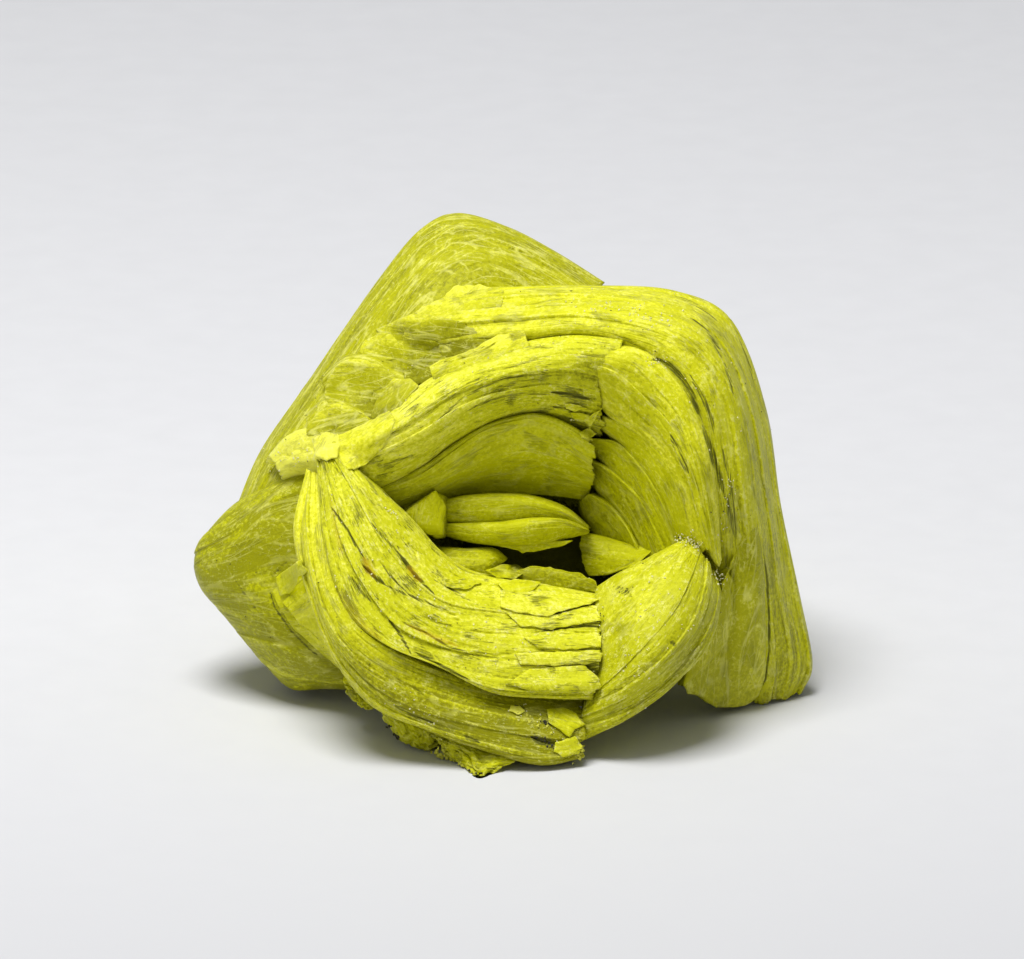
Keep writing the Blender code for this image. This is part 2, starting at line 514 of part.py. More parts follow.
BACK_PLATES = (
    (
        (
            (
                (-13.6, 7.1, -16.6), (-11.8, 8.7, -16.6), (-9.8, 8.8, -16.0),
                (-8.2, 7.9, -15.4), (-6.2, 7.3, -14.2),
            ),
            (
                (-13.6, 6.9, -15.2), (-11.8, 8.5, -14.6), (-9.8, 8.45, -13.9),
                (-8.2, 7.5, -13.2), (-6.6, 6.7, -12.2),
            ),
            (
                (-13.0, 5.6, -14.6), (-11.6, 6.4, -14.0), (-9.9, 6.2, -13.4),
                (-8.6, 5.4, -12.8), (-7.4, 4.6, -12.0),
            ),
            (
                (-12.8, 4.2, -14.0), (-11.6, 4.4, -13.2), (-10.2, 4.2, -12.6),
                (-9.0, 3.6, -12.0), (-8.0, 3.0, -11.6),
            ),
        ),
        (-4.0, 2.0, -23.0),
        ((0.5, 0.05),),
    ),
    (
        (
            (
                (-14.7, 4.5, -15.6), (-13.2, 5.8, -15.2), (-11.8, 5.8, -14.6),
                (-10.6, 5.2, -13.8), (-9.3, 4.8, -12.8),
            ),
            (
                (-14.6, 4.1, -14.2), (-13.2, 5.3, -13.4), (-11.9, 5.2, -12.7),
                (-10.7, 4.6, -11.9), (-9.5, 4.0, -11.0),
            ),
            (
                (-14.6, 2.2, -13.8), (-13.4, 2.8, -13.0), (-12.2, 2.6, -12.0),
                (-11.2, 2.4, -11.0), (-10.4, 2.2, -10.2),
            ),
        ),
        (-5.0, 1.0, -23.0),
        ((0.5, 0.05),),
    ),
    (
        (
            (
                (-9.3, 10.2, -17.0), (-8.0, 10.0, -16.4), (-6.6, 9.4, -15.6),
                (-5.2, 9.0, -14.4), (-3.6, 8.8, -13.0),
            ),
            (
                (-9.4, 10.1, -15.9), (-8.0, 9.7, -14.6), (-6.6, 9.1, -13.6),
                (-5.2, 8.8, -12.4), (-3.6, 8.6, -11.2),
            ),
            (
                (-9.2, 8.6, -14.8), (-8.0, 8.0, -13.8), (-6.8, 7.4, -12.8),
                (-5.6, 7.0, -11.6), (-4.2, 6.8, -10.6),
            ),
        ),
        (-3.0, 3.0, -23.0),
        ((0.5, 0.05),),
    ),
)
LEFT_LOBE = (
    (
        (
            (-20.2, -4.2, -21.0), (-20.2, -3.2, -20.4), (-18.7, -1.8, -20.0),
            (-16.2, -1.0, -19.6), (-13.0, -0.2, -18.6),
        ),
        (
            (-21.2, -4.3, -20.0), (-21.3, -3.5, -17.8), (-19.6, -1.7, -17.0),
            (-17.2, -0.4, -16.2), (-14.0, 1.2, -15.0),
        ),
        (
            (-21.8, -5.2, -19.8), (-22.1, -4.6, -16.6), (-19.5, -2.9, -14.8),
            (-17.0, -1.1, -13.6), (-13.8, 0.4, -12.0),
        ),
        (
            (-22.0, -6.6, -19.8), (-22.35, -6.1, -16.4), (-19.7, -5.0, -13.6),
            (-17.0, -3.8, -12.2), (-13.2, -3.2, -10.8),
        ),
        (
            (-21.4, -8.2, -19.6), (-21.7, -7.9, -16.0), (-18.9, -7.8, -13.0),
            (-16.2, -7.6, -11.8), (-12.4, -7.8, -10.4),
        ),
        (
            (-19.4, -9.6, -19.6), (-20.2, -9.8, -16.0), (-17.8, -10.4, -13.2),
            (-15.2, -10.8, -12.0), (-11.4, -11.2, -10.8),
        ),
        (
            (-17.6, -11.8, -19.8), (-18.3, -12.1, -16.2), (-16.4, -13.0, -14.2),
            (-14.2, -13.4, -13.0), (-10.6, -13.6, -12.2),
        ),
        (
            (-16.8, -12.9, -20.0), (-17.1, -13.5, -17.4), (-15.5, -14.8, -16.0),
            (-13.2, -14.75, -15.2), (-10.4, -14.9, -14.6),
        ),
        (
            (-15.6, -13.2, -21.6), (-16.4, -13.7, -20.2), (-15.2, -14.3, -19.4),
            (-13.0, -14.4, -19.0), (-10.2, -14.5, -18.2),
        ),
    ),
    (-8.5, -5.0, -25.0),
    ((0.2, 0.15), (0.3, 0.0), (0.68, 0.2), (0.8, 0.0)),
)
LEFT_STEPS = (
    (
        (
            ((-16.8, -7.6, -13.6), (-15.8, -6.8, -13.4), (-14.6, -5.6, -13.0), (-13.4, -4.8, -12.4)),
            ((-17.0, -7.8, -12.2), (-15.9, -6.9, -11.7), (-14.7, -5.8, -11.0), (-13.4, -5.0, -10.2)),
            ((-16.4, -9.2, -12.0), (-15.0, -8.8, -11.2), (-13.8, -8.4, -10.2), (-12.4, -8.2, -9.4)),
            ((-15.4, -10.6, -12.2), (-14.2, -10.8, -11.4), (-12.8, -11.0, -10.2), (-11.4, -11.0, -9.2)),
            ((-13.2, -12.8, -12.8), (-12.4, -13.0, -12.0), (-11.4, -13.2, -10.8), (-10.4, -13.4, -9.8)),
            (
                (-13.0, -13.2, -14.6), (-12.2, -13.4, -14.0), (-11.2, -13.6, -13.0), (-10.2, -13.8, -12.0),
            ),
        ),
        (-8.0, -7.0, -21.0),
        ((0.5, 0.1),),
    ),
    (
        (
            ((-16.2, -8.6, -12.6), (-15.2, -7.6, -12.2), (-14.2, -6.6, -11.6), (-13.2, -6.0, -11.0)),
            ((-16.1, -8.8, -11.3), (-15.2, -7.8, -10.7), (-14.2, -6.8, -10.0), (-13.2, -6.2, -9.4)),
            ((-15.2, -9.8, -11.0), (-14.2, -9.4, -10.2), (-13.4, -9.0, -9.4), (-12.4, -8.8, -8.8)),
            ((-13.0, -12.4, -11.4), (-12.4, -12.6, -10.6), (-11.6, -12.6, -9.8), (-10.8, -12.6, -9.0)),
            (
                (-12.4, -13.2, -13.0), (-11.8, -13.3, -12.2), (-11.0, -13.4, -11.4), (-10.2, -13.4, -10.6),
            ),
        ),
        (-7.0, -7.0, -21.0),
        ((0.5, 0.1),),
    ),
)
KNOT_CHIP = (
    (
        (
            (-17.4, 1.2, -15.6), (-15.8, 2.6, -14.6), (-14.0, 3.5, -13.0),
            (-12.2, 3.4, -11.6), (-10.6, 2.9, -10.6),
        ),
        (
            (-17.2, 1.6, -14.0), (-15.8, 3.1, -12.6), (-14.0, 3.6, -11.2),
            (-12.2, 2.9, -9.6), (-11.2, 2.0, -8.8),
        ),
        (
            (-16.8, 0.9, -13.4), (-15.4, 1.8, -11.8), (-13.8, 2.2, -10.4),
            (-12.4, 1.9, -8.9), (-11.4, 1.4, -8.2),
        ),
        (
            (-16.4, 0.2, -13.4), (-15.2, 0.7, -12.0), (-13.8, 1.0, -10.6),
            (-12.5, 1.0, -9.2), (-11.6, 0.8, -8.6),
        ),
        (
            (-15.6, -0.4, -15.0), (-14.4, 0.0, -13.8), (-13.2, 0.2, -12.6),
            (-12.0, 0.2, -11.2), (-11.2, 0.2, -10.6),
        ),
    ),
    (-7.0, 0.0, -21.0),
    ((0.5, 0.05),),
)
BASE_PLATES = (
    (
        (
            ((-9.0, -14.6, -7.5), (-7.8, -15.2, -6.8), (-6.4, -15.8, -6.4), (-5.2, -16.4, -6.4)),
            ((-9.4, -15.6, -7.0), (-8.2, -16.6, -5.6), (-6.6, -17.4, -5.0), (-5.0, -17.8, -5.2)),
            ((-9.0, -16.8, -8.0), (-8.0, -18.1, -6.8), (-6.2, -18.9, -6.2), (-5.0, -18.6, -6.4)),
            ((-8.0, -16.2, -10.0), (-7.2, -17.0, -9.4), (-6.0, -17.6, -9.0), (-5.0, -17.8, -8.8)),
        ),
        (-4.0, -10.0, -19.0),
        ((0.5, 0.1),),
    ),
    (
        (
            ((-5.8, -17.2, -5.0), (-4.2, -17.6, -4.2), (-2.2, -18.0, -3.6), (0.4, -18.6, -3.4)),
            ((-5.4, -18.2, -4.4), (-4.0, -18.6, -3.2), (-2.0, -19.2, -2.2), (0.9, -19.4, -2.4)),
            ((-4.8, -19.4, -5.0), (-3.6, -19.8, -3.0), (-2.4, -20.4, -1.4), (-0.6, -20.2, -2.0)),
            ((-4.4, -19.2, -6.6), (-3.2, -20.0, -3.2), (-2.3, -20.95, -1.2), (-0.9, -20.4, -2.6)),
            ((-4.0, -18.2, -8.0), (-3.0, -18.8, -6.6), (-1.8, -19.4, -5.6), (-0.2, -19.2, -6.0)),
        ),
        (-2.0, -10.0, -19.0),
        ((0.5, 0.1),),
    ),
    (
        (
            ((-12.0, -14.0, -9.5), (-11.0, -14.4, -9.0), (-10.0, -14.8, -8.6), (-9.2, -15.2, -8.4)),
            ((-11.8, -14.9, -9.8), (-10.9, -15.7, -8.8), (-10.2, -16.1, -8.4), (-9.4, -16.0, -8.2)),
            ((-11.2, -14.6, -11.6), (-10.6, -15.2, -11.0), (-10.0, -15.4, -10.6), (-9.2, -15.4, -10.2)),
        ),
        (-7.0, -9.0, -19.0),
        ((0.5, 0.05),),
    ),
)

# Books on the far side: centre, the way their plates face, turn about that way in degrees,
# half width and half thickness.
FAR_BOOKS = (
    ((-4.5, 2.0, -25.0), (-0.35, 0.25, -0.9), 20.0, 10.0, 7.5),
    ((6.0, 1.0, -24.0), (0.45, 0.1, -0.88), 40.0, 10.5, 7.0),
    ((1.5, -3.6, -24.0), (0.05, -0.5, -0.86), 10.0, 9.0, 6.5),
    ((-7.2, -4.9, -26.4), (-0.6, -0.6, -0.5), 0.0, 8.5, 5.5),
)
BOOK_LEDGES = ((-0.8, 0.0), (-0.45, 0.35), (-0.1, -0.1), (0.25, 0.3), (0.6, -0.05), (0.85, 0.2))
BOOK_LEDGE_HALF = 0.03  # in half thicknesses
BOOK_LOWEST = -0.93
BOOK_HIGHEST = 0.95
BOOK_SIDES = 16
BOOK_CORNER_POWER = 2.6  # 2 is round, more is squarer
BOOK_EDGE_POWERS = (2.6, 1 / 2.2)  # how full the edge of a book is between its two faces


def facing(point):
    """A point of the leaning face, in millimetres, as a place in the upright world, in metres."""
    right, up, out = point
    y = up * math.sin(LEAN_BACK) - out * math.cos(LEAN_BACK)
    z = up * math.cos(LEAN_BACK) + out * math.sin(LEAN_BACK)
    return np.array([(right + SHIFT[0]) * MM, (y + SHIFT[1]) * MM, (z + SHIFT[2]) * MM])


def smooth_through(points, shares):
    """Points on the smooth curve through the first axis of an array, at shares of its length from 0 to 1."""
    points = np.asarray(points, float)
    first = 2 * points[0] - points[1]
    last = 2 * points[-1] - points[-2]
    full = np.concatenate([[first], points, [last]])
    spans = len(points) - 1
    placed = []
    for share in shares:
        at = min(share * spans, spans - 1e-9)
        i = int(at)
        t = at - i
        a, b, c, d = full[i : i + 4]
        bend = (2 * a - 5 * b + 4 * c - d) * t**2 + (3 * b - a - 3 * c + d) * t**3
        placed.append(b + 0.5 * (c - a) * t + 0.5 * bend)
    return np.array(placed)


def ledge_shares(ledges, courses):
    """Where to cut a sheaf across its plates, and how far the plates stand out at each cut."""
    cuts = []
    lift = 0.0
    for share, next_lift in ledges:
        cuts.append((share - LEDGE_HALF, lift))
        cuts.append((share + LEDGE_HALF, next_lift))
        lift = next_lift
    for i in range(courses):
        share = i / (courses - 1)
        if all(abs(share - cut) > LEDGE_ROOM * LEDGE_HALF for cut, _ in cuts):
            lift = 0.0
            for at, next_lift in ledges:
                if at < share:
                    lift = next_lift
            if i in (0, courses - 1):
                lift = 0.0
            cuts.append((share, lift))
    return sorted(cuts)


def mesh_object(name, vertices, faces, material, collection):
    """A triangle mesh with its faces turned outward, as an object of the collection."""
    mesh = bpy.data.meshes.new(name)
    mesh.from_pydata([tuple(v) for v in vertices], [], faces)
    shape = bmesh.new()
    shape.from_mesh(mesh)
    bmesh.ops.triangulate(shape, faces=shape.faces[:])
    bmesh.ops.recalc_face_normals(shape, faces=shape.faces[:])
    shape.to_mesh(mesh)
    shape.free()
    mesh.materials.append(material)
    made = bpy.data.objects.new(name, mesh)
    collection.objects.link(made)
    return made


def sheaf(name, given, material, collection, along=ALONG):
    """A closed fan of plates: its outer surface through the courses, drawn in to its root."""
    courses, root, ledges = given
    cuts = ledge_shares(ledges, len(courses))
    root = np.array(root)
    lines = np.array([smooth_through(course, np.linspace(0, 1, along + 1)) for course in courses])
    surface = smooth_through(lines, [share for share, _ in cuts])
    away = surface - root
    away /= np.linalg.norm(away, axis=2)[:, :, None]
    surface += away * np.array([lift for _, lift in cuts])[:, None, None]
    rows, columns = surface.shape[:2]
    vertices = [facing(point) for point in surface.reshape(-1, 3)]
    vertices.append(facing(root))
    apex = rows * columns
    faces = []
    for i in range(rows - 1):
        for j in range(columns - 1):
            a = i * columns + j
            faces.append((a, a + 1, a + columns + 1, a + columns))
    rim = list(range(columns))
    rim += [i * columns + columns - 1 for i in range(1, rows)]
    rim += [(rows - 1) * columns + j for j in range(columns - 2, -1, -1)]
    rim += [i * columns for i in range(rows - 2, 0, -1)]
    for here, there in zip(rim, rim[1:] + rim[:1]):
        faces.append((there, here, apex))
    return mesh_object(name, vertices, faces, material, collection)


def book(name, given, material, collection):
    """A squarish cushion of stacked plates with ledges round its edge."""
    centre, faces_way, turn, half_width, half_thickness = given
    way = Vector(faces_way).normalized()
    side = way.cross(Vector((0.0, 1.0, 0.0))).normalized()
    up = side.cross(way).normalized()
    turn = math.radians(turn)
    vertices = []
    rows = []
    heights = [BOOK_LOWEST]
    lifts = [0.0]
    for share, lift in BOOK_LEDGES:
        heights += [share - BOOK_LEDGE_HALF, share + BOOK_LEDGE_HALF]
        lifts += [lifts[-1], lift]
    heights.append(BOOK_HIGHEST)
    lifts.append(0.0)
    for height, lift in zip(heights, lifts):
        reach = half_width * (1 - abs(height) ** BOOK_EDGE_POWERS[0]) ** BOOK_EDGE_POWERS[1] + lift
        row = []
        for k in range(BOOK_SIDES):
            angle = math.tau * k / BOOK_SIDES
            c = math.cos(angle)
            s = math.sin(angle)
            corner = abs(c) ** BOOK_CORNER_POWER + abs(s) ** BOOK_CORNER_POWER
            squarish = corner ** (-1 / BOOK_CORNER_POWER)
            x = reach * squarish * math.cos(angle + turn)
            y = reach * squarish * math.sin(angle + turn)
            place = Vector(centre) + side * x + up * y + way * (height * half_thickness)
            row.append(len(vertices))
            vertices.append(facing(place))
        rows.append(row)
    faces = []
    for low, high in zip(rows, rows[1:]):
        for k in range(BOOK_SIDES):
            m = (k + 1) % BOOK_SIDES
            faces.append((low[k], low[m], high[m], high[k]))
    for row, height in ((rows[0], -1.0), (rows[-1], 1.0)):
        middle = len(vertices)
        vertices.append(facing(Vector(centre) + way * (height * half_thickness)))
        for k in range(BOOK_SIDES):
            m = (k + 1) % BOOK_SIDES
            faces.append((row[k], row[m], middle))
    return mesh_object(name, vertices, faces, material, collection)


def heart(material, collection):
    """The massive middle: a rounded lump hidden by the sheaves on every side."""
    shape = bmesh.new()
    bmesh.ops.create_icosphere(shape, subdivisions=2, radius=1.0)
    for vertex in shape.verts:
        place = [HEART_CENTRE[i] + HEART_RADII[i] * vertex.co[i] for i in range(3)]
        vertex.co = Vector(facing(place))
    mesh = bpy.data.meshes.new("heart")
    shape.to_mesh(mesh)
    shape.free()
    mesh.materials.append(material)
    made = bpy.data.objects.new("heart", mesh)
    collection.objects.link(made)
    return made


def united(name, pieces, collection):
    """Every piece grown together into one solid, through exact unions of a group at a time."""
    body = pieces[0]
    for piece in pieces[1:]:
        join = body.modifiers.new("grown_together", "BOOLEAN")
        join.operation = "UNION"
        join.solver = "EXACT"
        join.object = piece
        join.use_self = True
        bpy.context.view_layer.update()
        evaluated = body.evaluated_get(bpy.context.evaluated_depsgraph_get())
        mesh = bpy.data.meshes.new_from_object(evaluated)
        body.modifiers.clear()
        body.data = mesh
    for piece in pieces[1:]:
        bpy.data.objects.remove(piece)
    body.name = name
    body.data.name = name
    return body


def without_sealed_voids(body):
    """Gaps wholly closed in between sheaves are solid mineral, so their inner walls are taken away."""
    shape = bmesh.new()
    shape.from_mesh(body.data)
    bmesh.ops.triangulate(shape, faces=shape.faces[:])
    shape.verts.ensure_lookup_table()
    seen = set()
    for start in shape.verts:
        if start.index in seen:
            continue
        stack = [start]
        group = []
        seen.add(start.index)
        while stack:
            vertex = stack.pop()
            group.append(vertex)
            for edge in vertex.link_edges:
                other = edge.other_vert(vertex)
                if other.index not in seen:
                    seen.add(other.index)
                    stack.append(other)
        faces = {face for vertex in group for face in vertex.link_faces}
        volume = 0.0
        for face in faces:
            a, b, c = (vertex.co for vertex in face.verts)
            volume += a.dot(b.cross(c))
        print("shell of", len(faces), "faces, volume", round(volume / 6 / MM**3, 2), "mm3")
        if volume < 0 or len(faces) < FEWEST_FACES:
            for vertex in group:
                vertex.tag = True
    bmesh.ops.delete(shape, geom=[v for v in shape.verts if v.tag], context="VERTS")
    shape.to_mesh(body.data)
    shape.free()


def cut_feet_flat(body, cutters):
    """Takes off what reaches below the resting plane, which leaves the small flats it stands on."""
    shape = bmesh.new()
    bmesh.ops.create_cube(shape, size=1.0)
    for vertex in shape.verts:
        vertex.co.x *= CUTTER_WIDTH * MM
        vertex.co.y *= CUTTER_WIDTH * MM
        vertex.co.z = (vertex.co.z - 0.5) * CUTTER_DEPTH * MM
    mesh = bpy.data.meshes.new("resting_plane")
    shape.to_mesh(mesh)
    shape.free()
    plane = bpy.data.objects.new("resting_plane", mesh)
    cutters.objects.link(plane)
    plane.hide_render = True
    plane.display_type = "WIRE"
    cut = body.modifiers.new("feet", "BOOLEAN")
    cut.operation = "DIFFERENCE"
    cut.solver = "EXACT"
    cut.object = plane
    bpy.context.view_layer.update()
    evaluated = body.evaluated_get(bpy.context.evaluated_depsgraph_get())
    mesh = bpy.data.meshes.new_from_object(evaluated)
    body.modifiers.clear()
    body.data = mesh


def autunite_material():
    """Plain yellow-green stone, waxy to pearly."""
    material = bpy.data.materials.new("autunite")
    material.use_nodes = True
    surface = material.node_tree.nodes["Principled BSDF"]
    surface.inputs["Base Color"].default_value = AUTUNITE_COLOUR
    surface.inputs["Roughness"].default_value = STONE_ROUGHNESS
    return material


for old in list(bpy.data.objects):
    bpy.data.objects.remove(old)
specimen = bpy.data.collections.new("autunite_specimen")
bpy.context.scene.collection.children.link(specimen)
cutter_group = bpy.data.collections.new("cutters")
bpy.context.scene.collection.children.link(cutter_group)
autunite = autunite_material()

grown = [heart(autunite, specimen)]
for number, given_book in enumerate(FAR_BOOKS):
    grown.append(book(f"far_book_{number}", given_book, autunite, specimen))
grown.append(sheaf("back_sheaf", BACK_SHEAF, autunite, specimen, 12))
grown.append(sheaf("hood", HOOD, autunite, specimen, 16))
grown.append(sheaf("left_lobe", LEFT_LOBE, autunite, specimen, 8))
grown.append(sheaf("arch", ARCH, autunite, specimen))
grown.append(sheaf("arch_lining", ARCH_LINING, autunite, specimen, 9))
grown.append(sheaf("bowl_wall", BOWL_WALL, autunite, specimen, 9))
grown.append(sheaf("lower_bundle", LOWER_BUNDLE, autunite, specimen, 12))
grown.append(sheaf("lower_apron", LOWER_APRON, autunite, specimen, 11))
grown.append(sheaf("corner_book", CORNER_BOOK, autunite, specimen, 9))
grown.append(sheaf("front_lobe", FRONT_LOBE, autunite, specimen, 7))
grown.append(sheaf("knot_chip", KNOT_CHIP, autunite, specimen, 7))
for group, given_sheaves in (
    ("bowl_blade", BOWL_BLADES),
    ("hollow_plate", HOLLOW_PLATES),
    ("back_plate", BACK_PLATES),
    ("left_step", LEFT_STEPS),
    ("base_plate", BASE_PLATES),
):
    for number, given_sheaf in enumerate(given_sheaves):
        grown.append(sheaf(f"{group}_{number}", given_sheaf, autunite, specimen, 6))
cluster = united("autunite_cluster", grown, specimen)
cut_feet_flat(cluster, cutter_group)
without_sealed_voids(cluster)
corners = np.array([tuple(v.co) for v in cluster.data.vertices]) / MM
print("box from", corners.min(0).round(2), "to", corners.max(0).round(2))
print(len(cluster.data.polygons), "triangles")
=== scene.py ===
"""Dresses the autunite specimen: its sheaves of thin square plates, with torn ends, slits and crumbs."""

import math

import bpy
import numpy as np
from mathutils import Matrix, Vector


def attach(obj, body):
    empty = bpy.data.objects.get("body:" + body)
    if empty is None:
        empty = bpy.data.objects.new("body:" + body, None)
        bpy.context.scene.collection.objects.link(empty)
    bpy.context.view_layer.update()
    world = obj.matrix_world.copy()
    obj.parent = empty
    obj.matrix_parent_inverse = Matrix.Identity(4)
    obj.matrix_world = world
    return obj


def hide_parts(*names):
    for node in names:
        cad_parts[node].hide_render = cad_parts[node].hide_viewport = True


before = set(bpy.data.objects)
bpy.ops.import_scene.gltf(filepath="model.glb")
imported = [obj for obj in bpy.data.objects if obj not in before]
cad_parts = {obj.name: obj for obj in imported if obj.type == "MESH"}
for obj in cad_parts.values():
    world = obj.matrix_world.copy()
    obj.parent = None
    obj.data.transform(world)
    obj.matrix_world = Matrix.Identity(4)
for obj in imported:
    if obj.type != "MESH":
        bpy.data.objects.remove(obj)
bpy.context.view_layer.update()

# --------------------------------------------------------------------------------------------------
# The far side: four books of thin square plates of autunite, a uranium mineral, stacked face to face.
# They grew out of one middle. From the side a book shows the edges of its plates as fine ridges.
# From the front it shows a waxy cleavage face crossed by fine fibres.
MM = 0.001
CLUSTER = "autunite_cluster"
LEAN_BACK = math.radians(18.0)  # the face of the rosette leans back this far from upright
SHIFT = (0.64, -13.89, 20.0)  # from the middle of the face to the middle of the base, in mm
FACE = np.array(
    (
        (1.0, 0.0, 0.0),
        (0.0, math.sin(LEAN_BACK), math.cos(LEAN_BACK)),
        (0.0, -math.cos(LEAN_BACK), math.sin(LEAN_BACK)),
    )
)  # right, up the leaning face and out of it, in the upright world
FLOOR_GAP = 0.02  # mm left under the lowest plates
FAR_BOOKS = (
    ((-4.5, 2.0, -25.0), (-0.35, 0.25, -0.9), 20.0, 10.0, 7.5),
    ((6.0, 1.0, -24.0), (0.45, 0.1, -0.88), 40.0, 10.5, 7.0),
    ((1.5, -3.6, -24.0), (0.05, -0.5, -0.86), 10.0, 9.0, 6.5),
    ((-7.2, -4.9, -26.4), (-0.6, -0.6, -0.5), 0.0, 8.5, 5.5),
)  # centre, the way the plates face, turn about that way in degrees, half width, half thickness, in mm
BOOK_LEDGES = ((-0.8, 0.0), (-0.45, 0.35), (-0.1, -0.1), (0.25, 0.3), (0.6, -0.05), (0.85, 0.2))
BOOK_CORNER_POWER = 2.6  # 2 is round, more is squarer
BOOK_LAYERS = ((7, 0.4, 0.8, (5, 6)), (22, 0.16, 1.2, (8, 9)), (60, 0.06, 1.2, (12, 16)))
BOOK_GRID = (120, 210)  # rows over the book, columns round it
# where the hollow is deepest, and painted black there as shade: the line along it, half its width, and its
# front
HOLLOW_FLOOR = ((-3.5, -4.5), (1.0, -5.8), (5.5, -6.2), (8.5, -5.5))
HOLLOW_HALF_WIDTH = 5.5
HOLLOW_FRONT = -22.0
# how strongly the books are painted dark as shade along the deep hollow
HOLLOW_PAINTED_SHADE = 4.0
BOOK_FILL = 0.985  # how near the rows of a book go to the middles of its two faces
BOOK_EDGE_POWERS = (2.6, 1 / 2.2)  # how full the edge of a book is between its two faces
skin = []  # every surface laid so far, for what lies on it


def upright(points):
    """Points of the leaning face, in mm, as places in the upright world, in metres."""
    return (np.asarray(points) @ FACE + SHIFT) * MM


def colour(code):
    """An sRGB hex value as linear red, green, blue and alpha."""
    parts = [int(code[i : i + 2], 16) / 255 for i in (1, 3, 5)]
    return [p / 12.92 if p <= 0.04045 else ((p + 0.055) / 1.055) ** 2.4 for p in parts] + [1.0]


def add(tree, kind, settings=None, **links):
    """One node, with its settings and its sockets filled by a value or by another node's socket."""
    node = tree.nodes.new(kind)
    for name, value in (settings or {}).items():
        setattr(node, name, value)
    for name, value in links.items():
        name = int(name[1:]) if name[0] == "_" else name.replace("_", " ")
        socket = node.inputs[name]
        if isinstance(value, bpy.types.NodeSocket):
            tree.links.new(value, socket)
        else:
            socket.default_value = value
    return node


